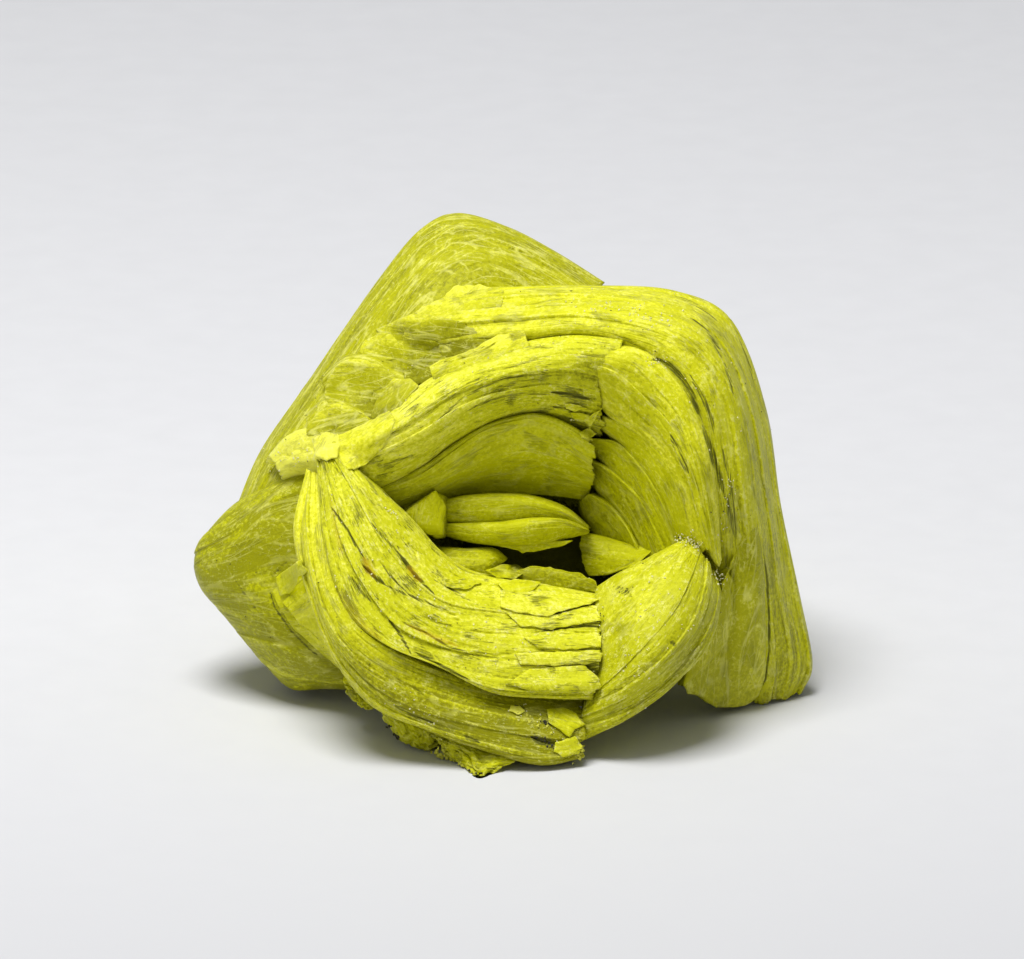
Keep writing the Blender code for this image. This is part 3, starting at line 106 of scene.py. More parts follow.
def autunite(name, deep, body, bright, fibre=0.3, streak=0.6, chalk=0.4, dust=0.45):
    """Autunite, drawn in mm on its own plates: a mineral grown in thin waxy layers, which splits like mica.
    Deep, body and bright are its colours, from the gaps to the fresh edges.
    The others are the shares of pale fibres, of streaks along the plates, of white bruising and of dust."""
    material = bpy.data.materials.new(name)
    material.use_nodes = True
    tree = material.node_tree
    surface = tree.nodes["Principled BSDF"]
    # mm along and across the plates
    plates = add(tree, "ShaderNodeUVMap", {"uv_map": "plates"}).outputs["UV"]
    place = add(tree, "ShaderNodeTexCoord").outputs["Object"]
    relief_and_cavity_shade, tone_and_painted_light, dirt_and_painted_shade, stain = (
        add(
            tree, "ShaderNodeAttribute", {"attribute_name": mark},
        ).outputs["Fac"] for mark in ("relief_and_cavity_shade", "tone_and_painted_light", "dirt_and_painted_shade", "stain")
    )
    # Grains to the mm along the plates and across them, how far each is turned in degrees, and its noise.
    # They are hairs 0.1 mm wide, bands of 0.4 mm, lines where single plates stand out, dirty hairs,
    # patches 1 to 3 mm across, chalky flakes of 0.1 to 0.3 mm, and three crossing sets of fibres.
    grains = []
    for along, across, turn, detail, roughness, bend in (
        (0.55, 9.0, 0, 3.0, 0.65, 0.2),
        (0.16, 2.4, 0, 4.0, 0.6, 0.3),
        (0.22, 5.2, 0, 2.0, 0.5, 0.15),
        (0.5, 7.0, 0, 3.0, 0.7, 0.0),
        (0.35, 0.8, 0, 4.0, 0.65, 0.5),
        (3.0, 8.0, 0, 3.0, 0.7, 0.0),
        (0.07, 0.5, 24, 1.0, 0.5, 0.3),
        (0.07, 0.45, -31, 1.0, 0.5, 0.3),
        (0.09, 0.4, 82, 1.0, 0.5, 0.3),
    ):
        laid = add(
            tree, "ShaderNodeMapping", Vector=plates, Rotation=(0.0, 0.0, math.radians(turn)),
            Scale=(along, across, 1.0),
        )
        settings = {"noise_dimensions": "2D"}
        made = add(
            tree, "ShaderNodeTexNoise", settings, Vector=laid.outputs[0], Scale=1.0, Detail=detail,
            Roughness=roughness, Distortion=bend,
        )
        grains.append(made.outputs["Fac"])
    hairs, bands, single, dirty, patches, flakes, *crossing = grains
    # Cloudy growth zones some 4 mm across, frosty spots of 1 mm, and grit of 0.25 mm and finer.
    clouds, frost, grit = (
        add(
            tree, "ShaderNodeTexNoise", Vector=place, Scale=scale, Detail=4.0, Roughness=0.62,
        ).outputs["Fac"] for scale in (260.0, 900.0, 3800.0)
    )
    # How far it is to the nearest seam of a crackle with cells about 1.1 by 0.7 mm, or to the nearest fibre.
    # The real fibres are 0.05 mm wide or less; these are about twice as wide, so that they show.
    bent = add(
        tree, "ShaderNodeTexNoise", {"noise_dimensions": "2D"}, Vector=plates, Scale=0.8, Detail=2.0,
    ).outputs["Color"]
    bent = add(
        tree, "ShaderNodeVectorMath", {"operation": "MULTIPLY_ADD"}, _0=bent, _1=(1.6, 1.0, 0.0), _2=plates,
    ).outputs[0]
    bent = add(tree, "ShaderNodeMapping", Vector=bent, Scale=(0.9, 1.5, 1.0)).outputs["Vector"]
    web = add(
        tree, "ShaderNodeTexVoronoi", {"voronoi_dimensions": "2D", "feature": "DISTANCE_TO_EDGE"},
        Vector=bent, Scale=1.0,
    ).outputs[0]
    web = add(tree, "ShaderNodeMath", {"operation": "MULTIPLY"}, _0=web, _1=1.7).outputs[0]
    for wave in crossing:
        folded = add(tree, "ShaderNodeMath", {"operation": "PINGPONG"}, _0=wave, _1=0.09).outputs[0]
        folded = add(tree, "ShaderNodeMath", {"operation": "MULTIPLY"}, _0=folded, _1=2.5).outputs[0]
        web = add(tree, "ShaderNodeMath", {"operation": "MINIMUM"}, _0=web, _1=folded).outputs[0]
    gap = add(tree, "ShaderNodeMath", {"operation": "PINGPONG"}, _0=single, _1=0.075).outputs[0]
    # Black specks under 0.2 mm, a few to the square centimetre.
    cells = add(tree, "ShaderNodeTexVoronoi", Vector=place, Scale=420.0)
    chosen = add(tree, "ShaderNodeSeparateColor", Color=cells.outputs["Color"]).outputs[0]
    # Each coat: what it depends on with its weights, between which values it comes in, its share and colour.
    # painted shade: the body coat reads the relief mark, so crests come out lighter and grooves darker; the
    # chalk coat reads it as wear on the crests
    coats = (
        (
            "body",
            (
                (tone_and_painted_light, 1.0), (hairs, 0.9 * streak), (bands, 0.9 * streak), (clouds, 1.0), (grit, 2.0),
                (relief_and_cavity_shade, 0.5),
            ),
            -0.8, -0.2, 1.0, body,
        ),
        (
            "bright",
            (
                (tone_and_painted_light, 1.0), (hairs, 0.4 * streak), (bands, 0.8 * streak), (clouds, 1.1), (grit, 2.4),
                (frost, 1.2),
            ),
            0.0, 0.7, 1.0, bright,
        ),
        ("gaps", ((gap, -9.0), (patches, 2.4), (hairs, 0.8)), 4.5, 4.66, min(1.0, 1.2 * streak), "#6E7014"),
        ("edges", ((gap, 8.0), (flakes, 0.9), (patches, -0.4)), -3.34, -3.22, 0.35 * streak, "#F8F690"),
        ("fibres", ((web, -5.0), (patches, 0.7), (frost, 0.6)), 2.34, 2.54, fibre, "#ECEA78"),
        ("chalk", ((flakes, 0.8), (grit, 1.1), (relief_and_cavity_shade, 0.3), (frost, 0.8)), 0.12, 0.34, chalk, "#F1EF9A"),
        ("dust", ((patches, 1.0), (hairs, 0.4), (grit, 0.4)), 0.06, 0.28, dust, "#84851A"),
        ("dirt_and_painted_shade", ((dirty, 1.6), (dirt_and_painted_shade, 1.0)), 0.26, 0.56, 0.9, "#585A20"),
        ("stain", ((stain, 1.0), (hairs, 0.4), (patches, 0.4)), -0.3, 0.5, 0.7, "#B99410"),
        ("specks", ((cells.outputs["Distance"], -60.0), (chosen, -8.0)), 30.7, 31.2, 1.0, "#2B2A12"),
    )
    made = {}
    base = colour(deep)
    for coat, parts, low, high, share, code in coats:
        total = -0.5 * sum(weight for _, weight in parts)  # every part is 0.5 on average
        for part, weight in parts:
            total = add(
                tree, "ShaderNodeMath", {"operation": "MULTIPLY_ADD"}, _0=part, _1=weight, _2=total,
            ).outputs[0]
        made[coat] = add(
            tree, "ShaderNodeMapRange", Value=total, From_Min=low, From_Max=high, To_Max=share,
        ).outputs[0]
        base = add(
            tree, "ShaderNodeMix", {"data_type": "RGBA"}, _0=made[coat], _6=base, _7=colour(code),
        ).outputs[2]
    tree.links.new(base, surface.inputs["Base Color"])
    # Waxy between the flakes and dull on them.
    # Hairs, gaps, fibres and flakes stand 0.02 to 0.05 mm proud or sunk.
    raised = (
        (hairs, 1.2 * streak), (bands, 1.2 * streak), (grit, 1.3), (made["fibres"], 0.5),
        (made["chalk"], 0.4), (made["gaps"], -0.7),
    )
    height, dull = 0.0, 0.2
    for part, weight in raised:
        height = add(
            tree, "ShaderNodeMath", {"operation": "MULTIPLY_ADD"}, _0=part, _1=weight, _2=height,
        ).outputs[0]
    for part, weight in ((grit, 0.5), (made["chalk"], 0.3)):
        dull = add(
            tree, "ShaderNodeMath", {"operation": "MULTIPLY_ADD"}, _0=part, _1=weight, _2=dull,
        ).outputs[0]
    tree.links.new(dull, surface.inputs["Roughness"])
    bump = add(tree, "ShaderNodeBump", Height=height, Strength=0.8, Distance=0.07 * MM).outputs["Normal"]
    tree.links.new(bump, surface.inputs["Normal"])
    # Cloudy: light runs up to 0.9 mm through it, and blue least. Refractive index 1.58.
    surface.inputs["Subsurface Weight"].default_value = 0.35
    surface.inputs["Subsurface Radius"].default_value = (1.0, 1.0, 0.12)
    surface.inputs["Subsurface Scale"].default_value = 0.9 * MM
    surface.inputs["Specular IOR Level"].default_value = 0.35
    surface.inputs["Specular Tint"].default_value = colour("#F2F088")
    surface.inputs["IOR"].default_value = 1.58
    return material


def curve_weights(count, shares):
    """How much each of count points counts at shares of the way along the smooth curve through them."""
    at = np.clip(np.asarray(shares, float) * (count - 1), 0, count - 1 - 1e-9)
    low = at.astype(int)
    t = at - low
    pull = 0.5 * np.array(
        [-t + 2 * t**2 - t**3, 2 - 5 * t**2 + 3 * t**3, t + 4 * t**2 - 3 * t**3, t**3 - t**2],
    )
    table = np.zeros((len(at), count + 2))
    for step in range(4):
        table[np.arange(len(at)), low + step] += pull[step]
    inner = table[:, 1:-1].copy()
    inner[:, 0] += 2 * table[:, 0]
    inner[:, 1] -= table[:, 0]
    inner[:, -1] += 2 * table[:, -1]
    inner[:, -2] -= table[:, -1]
    return inner


def swell(draw, knots, across, along):
    """Soft random hills over a surface, with knots[0] of them across and knots[1] along."""
    return curve_weights(knots[0], across) @ draw.uniform(-1, 1, knots) @ curve_weights(knots[1], along).T


def softened(values, reach):
    """Values over a grid, each made the mean of those around it."""
    for axis, half in enumerate(reach):
        padded = np.concatenate(
            [
                np.repeat(values.take([0], axis), half, axis), values,
                np.repeat(values.take([-1], axis), half, axis),
            ],
            axis,
        )
        total = np.cumsum(padded, axis)
        total = np.concatenate([np.zeros_like(total.take([0], axis)), total], axis)
        size = values.shape[axis]
        values = (
            total.take(
                np.arange(2 * half + 1, 2 * half + 1 + size), axis,
            ) - total.take(np.arange(size), axis)
        ) / (2 * half + 1)
    return values


SPARE = 8  # plates past the two sides of a sheaf that wandering edges may bring in
FINER = 3  # the plate edges are worked out on this many rows for each row of the mesh
COMMON_BEND = 0.02  # how far all layers of a sheaf wander together, as a share of its width
TONE_SHARES = (0.5, 0.35, 0.25)  # how much the plates of the first, second and later layers differ in tone
TORN_SHARES = (0.5, 0.35, 0.15)  # and how much they differ in length


def plate_edges(draw, rows, columns, layers, torn=(0.0, 0.0), torn_from=0.0, faults=0.0, ledges=()):
    """Relief in mm of a stack of plates seen at its edges, as five grids.
    They are how far each point stands out, how far the plates after each ledge do, how far the plate ends are
    torn back, the tone of each plate, and how open the slit beside it is.
    Layers are (plates across, height of their steps, how many plates their edges wander, hills both ways)."""
    v = (np.arange(rows * FINER) + 0.5) / (rows * FINER)
    u = np.linspace(0, 1, columns)
    column = np.arange(columns)[None, :]
    out = np.zeros((len(v), columns))
    tone_and_painted_light = np.zeros_like(out)
    slit = np.zeros_like(out)
    ends = [np.zeros_like(out), np.zeros_like(out)]
    common = COMMON_BEND * swell(draw, (5, 6), v, u)
    for number, (plates, height, wander, knots) in enumerate(layers):
        drift = swell(draw, knots, v, u) + 0.35 * swell(draw, (knots[0] * 2, knots[1] * 3), v, u)
        here = (v[:, None] + common) * plates + wander * drift + SPARE / 2
        plate = np.clip(here.astype(int), 0, plates + SPARE - 1)
        within = here - plate
        stands = np.clip(
            draw.normal(
                0.5, 0.6, (plates + SPARE, knots[1] * 2 + 2),
            ) @ curve_weights(knots[1] * 2 + 2, u).T,
            0, 1.5,
        )
        step = height * stands[plate, column]
        out -= step * within**1.5
        slit = np.maximum(
            slit, np.clip((within - 0.75) * 4, 0, 1) ** 2 * np.clip(stands[plate, column] - 0.55, 0, 1),
        )
        tone_and_painted_light += (draw.uniform(-0.5, 0.5, plates + SPARE)[plate]) * TONE_SHARES[min(number, 2)]
        for side in (0, 1):
            cut = np.abs(draw.normal(0, 1, plates + SPARE))
            ends[side] += torn[side] * TORN_SHARES[min(number, 2)] * cut[plate] * np.clip(
                (v[:, None] - torn_from) * 8, 0, 1,
            )
    if faults:
        broken = swell(draw, (40, 9), v, u) + 0.5 * swell(draw, (90, 26), v, u)
        out -= faults * np.clip((broken - 0.6) * 5, 0, 1)
    lift = np.zeros_like(out)
    place = v[:, None] + common
    for share, level in ledges:
        fading = np.clip(0.65 + 0.6 * swell(draw, (2, 6), v, u), 0, 1)
        lift = np.where(place > share, level * fading, lift)
    gather = lambda grid: grid.reshape(rows, FINER, -1).mean(1)
    return gather(out), gather(lift), [gather(e) for e in ends], 0.5 + gather(tone_and_painted_light), gather(slit)


def near_line(points, line, half_width):
    """How close points lie to a broken line on the leaning face: 1 on it and 0 past its half width."""
    best = np.zeros(points.shape[:-1])
    line = np.array(line, float)
    lengths = np.concatenate([[0], np.cumsum(np.linalg.norm(np.diff(line, axis=0), axis=1))])
    for a, b, start in zip(line, line[1:], lengths):
        along = np.clip(((points[..., :2] - a) @ (b - a)) / ((b - a) @ (b - a)), 0, 1)
        away = np.linalg.norm(points[..., :2] - (a + along[..., None] * (b - a)), axis=-1)
        share = (start + along * np.linalg.norm(b - a)) / lengths[-1]
        width = half_width * (1 - np.abs(2 * share - 1) ** 3) + 1e-6
        best = np.maximum(best, np.clip(1 - away / width, 0, 1))
    return best


WALL_SHARES = (0.05, 0.16, 0.4)  # where the side walls of a piece are cut on their way to its root


def closed_piece(name, grid, root, uv, marks, material, wrap=False):
    """A mesh of a surface's grid of points, closed to its root by side walls, with its marks and its map."""
    rows, columns = grid.shape[:2]
    index = np.arange(rows * columns).reshape(rows, columns)
    faces = np.stack(
        [index[:-1, :-1], index[:-1, 1:], index[1:, 1:], index[1:, :-1]], -1,
    ).reshape(-1, 4).tolist()
    points = [grid.reshape(-1, 3)]
    if not wrap:
        rim = np.concatenate([index[0], index[1:, -1], index[-1, -2::-1], index[-2:0:-1, 0]])
    else:
        rim = None
    sources = [np.arange(rows * columns)]
    if rim is not None:
        previous = rim
        count = rows * columns
        for share in WALL_SHARES:
            ring = grid.reshape(-1, 3)[rim] * (1 - share) + np.array(root) * share
            points.append(ring)
            sources.append(rim)
            this = np.arange(count, count + len(rim))
            count += len(rim)
            faces += np.stack([previous, this, np.roll(this, -1), np.roll(previous, -1)], -1).tolist()
            previous = this
        points.append(np.array(root, float)[None])
        sources.append(rim[:1])
        faces += np.stack([previous, np.full(len(rim), count), np.roll(previous, -1)], -1).tolist()
    else:
        count = rows * columns
        for row, sign in ((index[0], 1), (index[-1], -1)):
            points.append(grid.reshape(-1, 3)[row[:-1]].mean(0)[None])
            sources.append(row[:1])
            ring = row[:-1]
            after = np.roll(ring, -1)
            faces += (
                np.stack([after, ring, np.full(len(ring), count)], -1) if sign > 0 else np.stack(
                    [ring, after, np.full(len(ring), count)], -1,
                )
            ).tolist()
            count += 1
    source = np.concatenate(sources)
    points = np.concatenate(points)
    placed = upright(points)
    placed[:, 2] = np.maximum(placed[:, 2], FLOOR_GAP * MM)
    mesh = bpy.data.meshes.new(name)
    mesh.from_pydata(placed.tolist(), [], faces)
    if wrap:
        mesh.validate()
    corner = np.zeros(len(mesh.loops), int)
    mesh.loops.foreach_get("vertex_index", corner)
    layer = mesh.uv_layers.new(name="plates")
    layer.data.foreach_set("uv", uv.reshape(-1, 2)[source][corner].ravel())
    for mark, values in marks.items():
        held = mesh.attributes.new(mark, "FLOAT", "POINT")
        held.data.foreach_set("value", values.ravel()[source].astype(np.float32))
    triangles = mesh.loop_triangles
    mesh.calc_loop_triangles()
    corners = np.zeros(len(triangles) * 3, int)
    triangles.foreach_get("vertices", corners)
    a, b, c = placed[corners.reshape(-1, 3).T]
    if np.einsum("ij,ij->", a, np.cross(b, c)) < 0:
        mesh.flip_normals()
    mesh.shade_smooth()
    mesh.materials.append(material)
    piece = bpy.data.objects.new(name, mesh)
    bpy.context.scene.collection.objects.link(piece)
    skin.append(points[: rows * columns])
    return grown(piece)


def grown(piece):
    """A piece of the one cluster: it stands for the CAD solid with all the others."""
    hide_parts(CLUSTER)
    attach(piece, "root")
    return piece


def marks_of(out, tone_and_painted_light, slit, extra_dirt_and_shade=0.0, stain=None, scale=0.12):
    """What the material reads: crest or hollow, with crests painted lighter and grooves darker as shade; tone
    of the plate, with painted light and shade; dirt and painted shade in the slit and the hollow; and stain.
    """
    local = out - softened(out, (5, 3))
    return {
        "relief_and_cavity_shade": np.clip(0.5 + local / (2 * scale), 0, 1),
        "tone_and_painted_light": tone_and_painted_light,
        "dirt_and_painted_shade": 0.5 * np.clip(slit, 0, 1) + extra_dirt_and_shade,
        "stain": np.zeros_like(out) if stain is None else stain,
    }


def far_book(name, given, material, seed):
    """A squarish cushion of stacked plates, with ledges round its edge."""
    draw = np.random.default_rng(seed)
    centre, faces_way, turn, half_width, half_thickness = given
    way = Vector(faces_way).normalized()
    side = way.cross(Vector((0.0, 1.0, 0.0))).normalized()
    up = side.cross(way).normalized()
    rows, columns = BOOK_GRID
    out, lift, _, tone_and_painted_light, slit = plate_edges(
        draw, rows, columns, BOOK_LAYERS, faults=0.08, ledges=[((s + 1) / 2, l) for s, l in BOOK_LEDGES],
    )
    blend = np.clip(np.linspace(0, 1, columns) * 12, 0, 1)[None, :]
    out, lift, tone_and_painted_light, slit = (g * blend + g[:, -1:] * (1 - blend) for g in (out, lift, tone_and_painted_light, slit))
    height = np.sin(np.linspace(-0.5, 0.5, rows) * math.pi * BOOK_FILL)[:, None]
    angle = np.linspace(0, math.tau, columns)[None, :]
    corner = np.abs(np.cos(angle)) ** BOOK_CORNER_POWER + np.abs(np.sin(angle)) ** BOOK_CORNER_POWER
    squarish = corner ** (-1 / BOOK_CORNER_POWER)
    fade = np.clip((1 - np.abs(height)) * 6, 0, 1)
    reach = half_width * (
        1 - np.abs(height) ** BOOK_EDGE_POWERS[0]
    ) ** BOOK_EDGE_POWERS[1] + (lift + out) * fade
    turned = angle + math.radians(turn)
    frame_of_book = np.array([side, up, way])
    local = np.stack(
        [
            reach * squarish * np.cos(turned), reach * squarish * np.sin(turned),
            height * half_thickness * np.ones_like(turned),
        ],
        -1,
    )
    grid = np.array(centre) + local @ frame_of_book
    uv = np.stack(
        [angle * half_width * np.ones_like(height), height * half_thickness * 1.6 * np.ones_like(angle)],
        -1,
    )
    # painted shade: the books are darkened where they line the deep hollow
    deep = HOLLOW_PAINTED_SHADE * near_line(grid, HOLLOW_FLOOR, HOLLOW_HALF_WIDTH) * (grid[..., 2] > HOLLOW_FRONT)
    return closed_piece(name, grid, centre, uv, marks_of(out, tone_and_painted_light, slit, deep), material, wrap=True)


# Edges of the plates side by side: snapped or naturally stepped, so they look striped, dry and pale.
edges = autunite(
    "autunite_plate_edges", "#94940C", "#D4D51E", "#FAF85C", fibre=0.15, streak=0.75, chalk=0.65, dust=0.35,
)
# Cleavage faces: split along the layers, so they look smooth, waxy and even.
faces = autunite(
    "autunite_cleavage_faces", "#969604", "#C4C506", "#DFDF22", fibre=0.3, streak=0.35, chalk=0.3,
    dust=0.35,
)
# Cleavage faces that dried and crazed: a darker ground under a net of pale fibres.
crackled = autunite(
    "autunite_crackled_faces", "#8B8B08", "#B2B20C", "#D8D730", fibre=0.6, streak=0.25, chalk=0.35,
    dust=0.45,
)
# Faces rubbed by handling: the same ground, bloomed over with white scuffs.
frosted = autunite(
    "autunite_frosted_faces", "#92920A", "#C0C112", "#E2E23C", fibre=0.35, streak=0.25, chalk=0.8,
    dust=0.35,
)
# Faces and edges rounded by wear: bright and chalky on the crests, dusty between them.
worn = autunite(
    "autunite_worn_faces", "#94930A", "#D0D014", "#F7F548", fibre=0.35, streak=0.35, chalk=0.5, dust=0.45,
)
for number, given in enumerate(FAR_BOOKS):
    far_book(f"far_book_{number}", given, faces, 40 + number)

# --------------------------------------------------------------------------------------------------
# The back sheaf: a broad fan of autunite plates that rises to the top corner, bent so its faces look out.
# The faces have split into overlapping plates, crossed by pale fibres, and the rim shows fine edges.
BACK_SHEAF = (
    (
        (
            (-11.0, -1.0, -15.0), (-9.0, 2.0, -15.0), (-7.0, 4.6, -16.0), (-5.0, 6.6, -17.0),
            (-3.5, 8.0, -18.0), (-2.6, 9.0, -18.4), (-1.8, 9.4, -18.8), (-0.4, 9.2, -19.0),
            (1.0, 8.8, -19.2), (2.6, 8.2, -19.4),
        ),
        (
            (-15.0, -1.0, -13.4), (-12.4, 2.4, -13.2), (-9.8, 5.8, -14.0), (-7.2, 8.8, -14.6),
            (-5.2, 10.8, -15.2), (-3.8, 12.0, -15.9), (-2.4, 12.6, -16.4), (-0.6, 12.4, -16.8),
            (1.4, 11.6, -17.2), (3.4, 10.6, -17.6),
        ),
        (
            (-17.3, -1.8, -14.4), (-14.9, 1.8, -14.6), (-12.0, 5.8, -15.1), (-9.2, 9.8, -15.6),
            (-6.9, 12.9, -16.2), (-4.9, 14.9, -17.0), (-2.8, 15.7, -17.7), (-0.3, 15.1, -17.9),
            (2.2, 13.8, -18.2), (4.7, 12.2, -18.2),
        ),
        (
            (-18.9, -2.2, -16.2), (-16.8, 1.8, -16.8), (-13.9, 6.0, -17.4), (-10.9, 10.3, -17.9),
            (-8.0, 14.0, -18.5), (-5.6, 16.6, -19.3), (-3.2, 17.6, -20.0), (-0.1, 16.9, -20.0),
            (2.9, 15.3, -19.7), (5.8, 13.3, -19.4),
        ),
        (
            (-19.7, -2.4, -19.0), (-17.9, 1.9, -20.0), (-15.1, 6.1, -21.0), (-12.1, 10.5, -21.5),
            (-9.2, 14.6, -22.0), (-6.6, 17.7, -22.5), (-4.0, 18.95, -23.0), (-0.4, 18.0, -23.0),
            (3.1, 16.2, -22.6), (6.6, 14.0, -22.2),
        ),
        (
            (-18.8, -3.0, -22.5), (-17.0, 1.2, -23.5), (-14.2, 5.6, -24.5), (-11.2, 9.8, -25.4),
            (-8.2, 13.4, -26.0), (-5.6, 16.2, -26.5), (-3.2, 17.2, -26.8), (-0.2, 16.4, -26.8),
            (2.6, 14.8, -26.4), (5.6, 12.8, -25.8),
        ),
        (
            (-16.0, -3.4, -26.0), (-14.6, 0.4, -27.0), (-12.4, 4.0, -28.2), (-9.8, 7.6, -29.0),
            (-7.4, 10.6, -29.6), (-5.0, 12.8, -30.0), (-2.8, 13.6, -30.2), (-0.4, 13.2, -30.2),
            (2.0, 12.0, -29.8), (4.4, 10.4, -29.2),
        ),
    ),
    (-4.0, 2.0, -24.0),
    ((0.22, 0.2), (0.36, 0.0), (0.46, 0.2), (0.56, 0.0), (0.76, 0.25), (0.86, 0.0)),
)


MOST_TORN = 0.3  # share of its length that an end of a plate is torn back at most
SLIT_SINK = 0.4  # share of a slit's depth that is open
SLIT_OPEN = 0.6  # share of its half width that is open
DIRT_AND_SHADE_SPREAD = 2.0  # how many half widths its dirt and painted shade reach
STAIN_SPREAD = 2.0  # and a stain
DIP_REACH = 0.18  # share of a sheaf's length over which an end dips
RIM_REACH = 0.16  # mm, how far a pale rim reaches in
MAP_STEP = 7.3  # mm between the maps of two sheaves, so that their grain differs


def sheaf(
    name, given, material, seed, grid, layers, torn=(0.0, 0.0), torn_from=0.0, faults=0.0, slits=(),
    stains=(), sink=(0.0, 0.0), rim=0.0, tone_offset_and_painted_light=0.0, lean=0.25, scale=0.07,
):
    """A closed fan of plates grown from its root: a smooth surface through its courses, with their relief.
    Slits are (line, half width, depth), darkened with dirt and painted shade, and stains (line, half width,
    strength), on the leaning face in mm.
    Sink is how far its two ends dip into what they grow from. Rim is how pale its first edge is.
    Toned is how light it is, or how light its two ends are: partly its own tone, mostly painted light and
    shade.
    Lean is how far its relief turns from its own facing toward the way out of the root."""
    draw = np.random.default_rng(seed)
    courses, root, ledges = given
    courses = np.array(courses, float)
    root = np.array(root, float)
    rows, columns = grid
    out, lift, ends, tone_and_painted_light, slit = plate_edges(draw, rows, columns, layers, torn, torn_from, faults, ledges)
    v = np.linspace(0, 1, rows)
    u = np.linspace(0, 1, columns)
    lines = np.einsum("rk,kcd->rcd", curve_weights(len(courses), v), courses)
    length = np.linalg.norm(np.diff(lines, axis=1), axis=2).sum(1).mean()
    width = np.linalg.norm(np.diff(lines, axis=0), axis=2).sum(0).mean()
    back, short = (np.clip(e / length, 0, MOST_TORN) for e in ends)
    share = back + (1 - back - short) * u[None, :]
    count = courses.shape[1]
    surface = np.empty((rows, columns, 3))
    for row in range(rows):
        surface[row] = curve_weights(count, share[row]) @ lines[row]
    away = surface - root
    away /= np.linalg.norm(away, axis=2)[:, :, None]
    normal = np.cross(np.gradient(surface, axis=0), np.gradient(surface, axis=1))
    normal /= np.linalg.norm(normal, axis=2)[:, :, None] + 1e-12
    normal *= np.sign((normal * away).sum(2, keepdims=True))
    way = normal * (1 - lean) + away * lean
    fade_v = np.clip(np.minimum(v, 1 - v) * 14, 0, 1)[:, None]
    lift = lift * fade_v
    stained = np.zeros_like(out)
    slit_dirt_and_shade = np.zeros_like(out)
    for line, half_width, depth in slits:
        out = out - SLIT_SINK * depth * np.clip(
            near_line(surface, line, SLIT_OPEN * half_width) * 1.5, 0, 1,
        )
        # dirt and painted shade: the deeper the slit, the darker it is painted
        dark = np.clip(near_line(surface, line, DIRT_AND_SHADE_SPREAD * half_width) * 1.4, 0, 1)
        slit_dirt_and_shade = np.maximum(slit_dirt_and_shade, dark * min(1.1, 0.75 + depth))
    for line, half_width, strength in stains:
        stained = np.maximum(stained, strength * near_line(surface, line, STAIN_SPREAD * half_width))
    dip = sink[0] * np.clip(1 - u / DIP_REACH, 0, 1) ** 2 + sink[1] * np.clip(
        1 - (1 - u) / DIP_REACH, 0, 1,
    ) ** 2
    points = surface + away * (lift - dip[None, :])[:, :, None] + way * out[:, :, None]
    uv = np.stack([share * length, np.repeat(v[:, None] * width, columns, 1)], -1)
    uv += seed * MAP_STEP
    tone_and_painted_light = tone_and_painted_light + np.interp(u, (0, 1), np.broadcast_to(tone_offset_and_painted_light, 2))
    tone_and_painted_light = tone_and_painted_light + rim * np.exp(-((v * width / RIM_REACH) ** 2))[:, None]
    return closed_piece(
        name, points, root, uv, marks_of(out + lift, tone_and_painted_light, slit, slit_dirt_and_shade, stained, scale), material,
    )


sheaf(
    "back_sheaf", BACK_SHEAF, crackled, 11, (250, 210),
    ((9, 0.06, 0.6, (4, 4)), (30, 0.025, 1.0, (10, 8)), (90, 0.01, 1.0, (20, 20))),
    faults=0.04,
)
BACK_PLATES = (
    (
        (
            (
                (-13.6, 7.1, -16.6), (-11.8, 8.7, -16.6), (-9.8, 8.8, -16.0),
                (-8.2, 7.9, -15.4), (-6.2, 7.3, -14.2),
            ),
            (
                (-13.6, 6.9, -15.2), (-11.8, 8.5, -14.6), (-9.8, 8.45, -13.9),
                (-8.2, 7.5, -13.2), (-6.6, 6.7, -12.2),
            ),
            (
                (-13.0, 5.6, -14.6), (-11.6, 6.4, -14.0), (-9.9, 6.2, -13.4),
                (-8.6, 5.4, -12.8), (-7.4, 4.6, -12.0),
            ),
            (
                (-12.8, 4.2, -14.0), (-11.6, 4.4, -13.2), (-10.2, 4.2, -12.6),
                (-9.0, 3.6, -12.0), (-8.0, 3.0, -11.6),
            ),
        ),
        (-4.0, 2.0, -23.0),
        ((0.5, 0.05),),
    ),
    (
        (
            (
                (-14.7, 4.5, -15.6), (-13.2, 5.8, -15.2), (-11.8, 5.8, -14.6),
                (-10.6, 5.2, -13.8), (-9.3, 4.8, -12.8),
            ),
            (
                (-14.6, 4.1, -14.2), (-13.2, 5.3, -13.4), (-11.9, 5.2, -12.7),
                (-10.7, 4.6, -11.9), (-9.5, 4.0, -11.0),
            ),
            (
                (-14.6, 2.2, -13.8), (-13.4, 2.8, -13.0), (-12.2, 2.6, -12.0),
                (-11.2, 2.4, -11.0), (-10.4, 2.2, -10.2),
            ),
        ),
        (-5.0, 1.0, -23.0),
        ((0.5, 0.05),),
    ),
    (
        (
            (
                (-9.3, 10.2, -17.0), (-8.0, 10.0, -16.4), (-6.6, 9.4, -15.6),
                (-5.2, 9.0, -14.4), (-3.6, 8.8, -13.0),
            ),
            (
                (-9.4, 10.1, -15.9), (-8.0, 9.7, -14.6), (-6.6, 9.1, -13.6),
                (-5.2, 8.8, -12.4), (-3.6, 8.6, -11.2),
            ),
            (
                (-9.2, 8.6, -14.8), (-8.0, 8.0, -13.8), (-6.8, 7.4, -12.8),
                (-5.6, 7.0, -11.6), (-4.2, 6.8, -10.6),
            ),
        ),
        (-3.0, 3.0, -23.0),
        ((0.5, 0.05),),
    ),
)
for number, given in enumerate(BACK_PLATES):
    sheaf(
        f"back_plate_{number}", given, crackled, 20 + number, (70, 80),
        ((3, 0.06, 0.4, (3, 3)), (10, 0.02, 0.8, (6, 6))),
        torn=(0.3, 0.3), sink=(0.0, 0.5),
    )
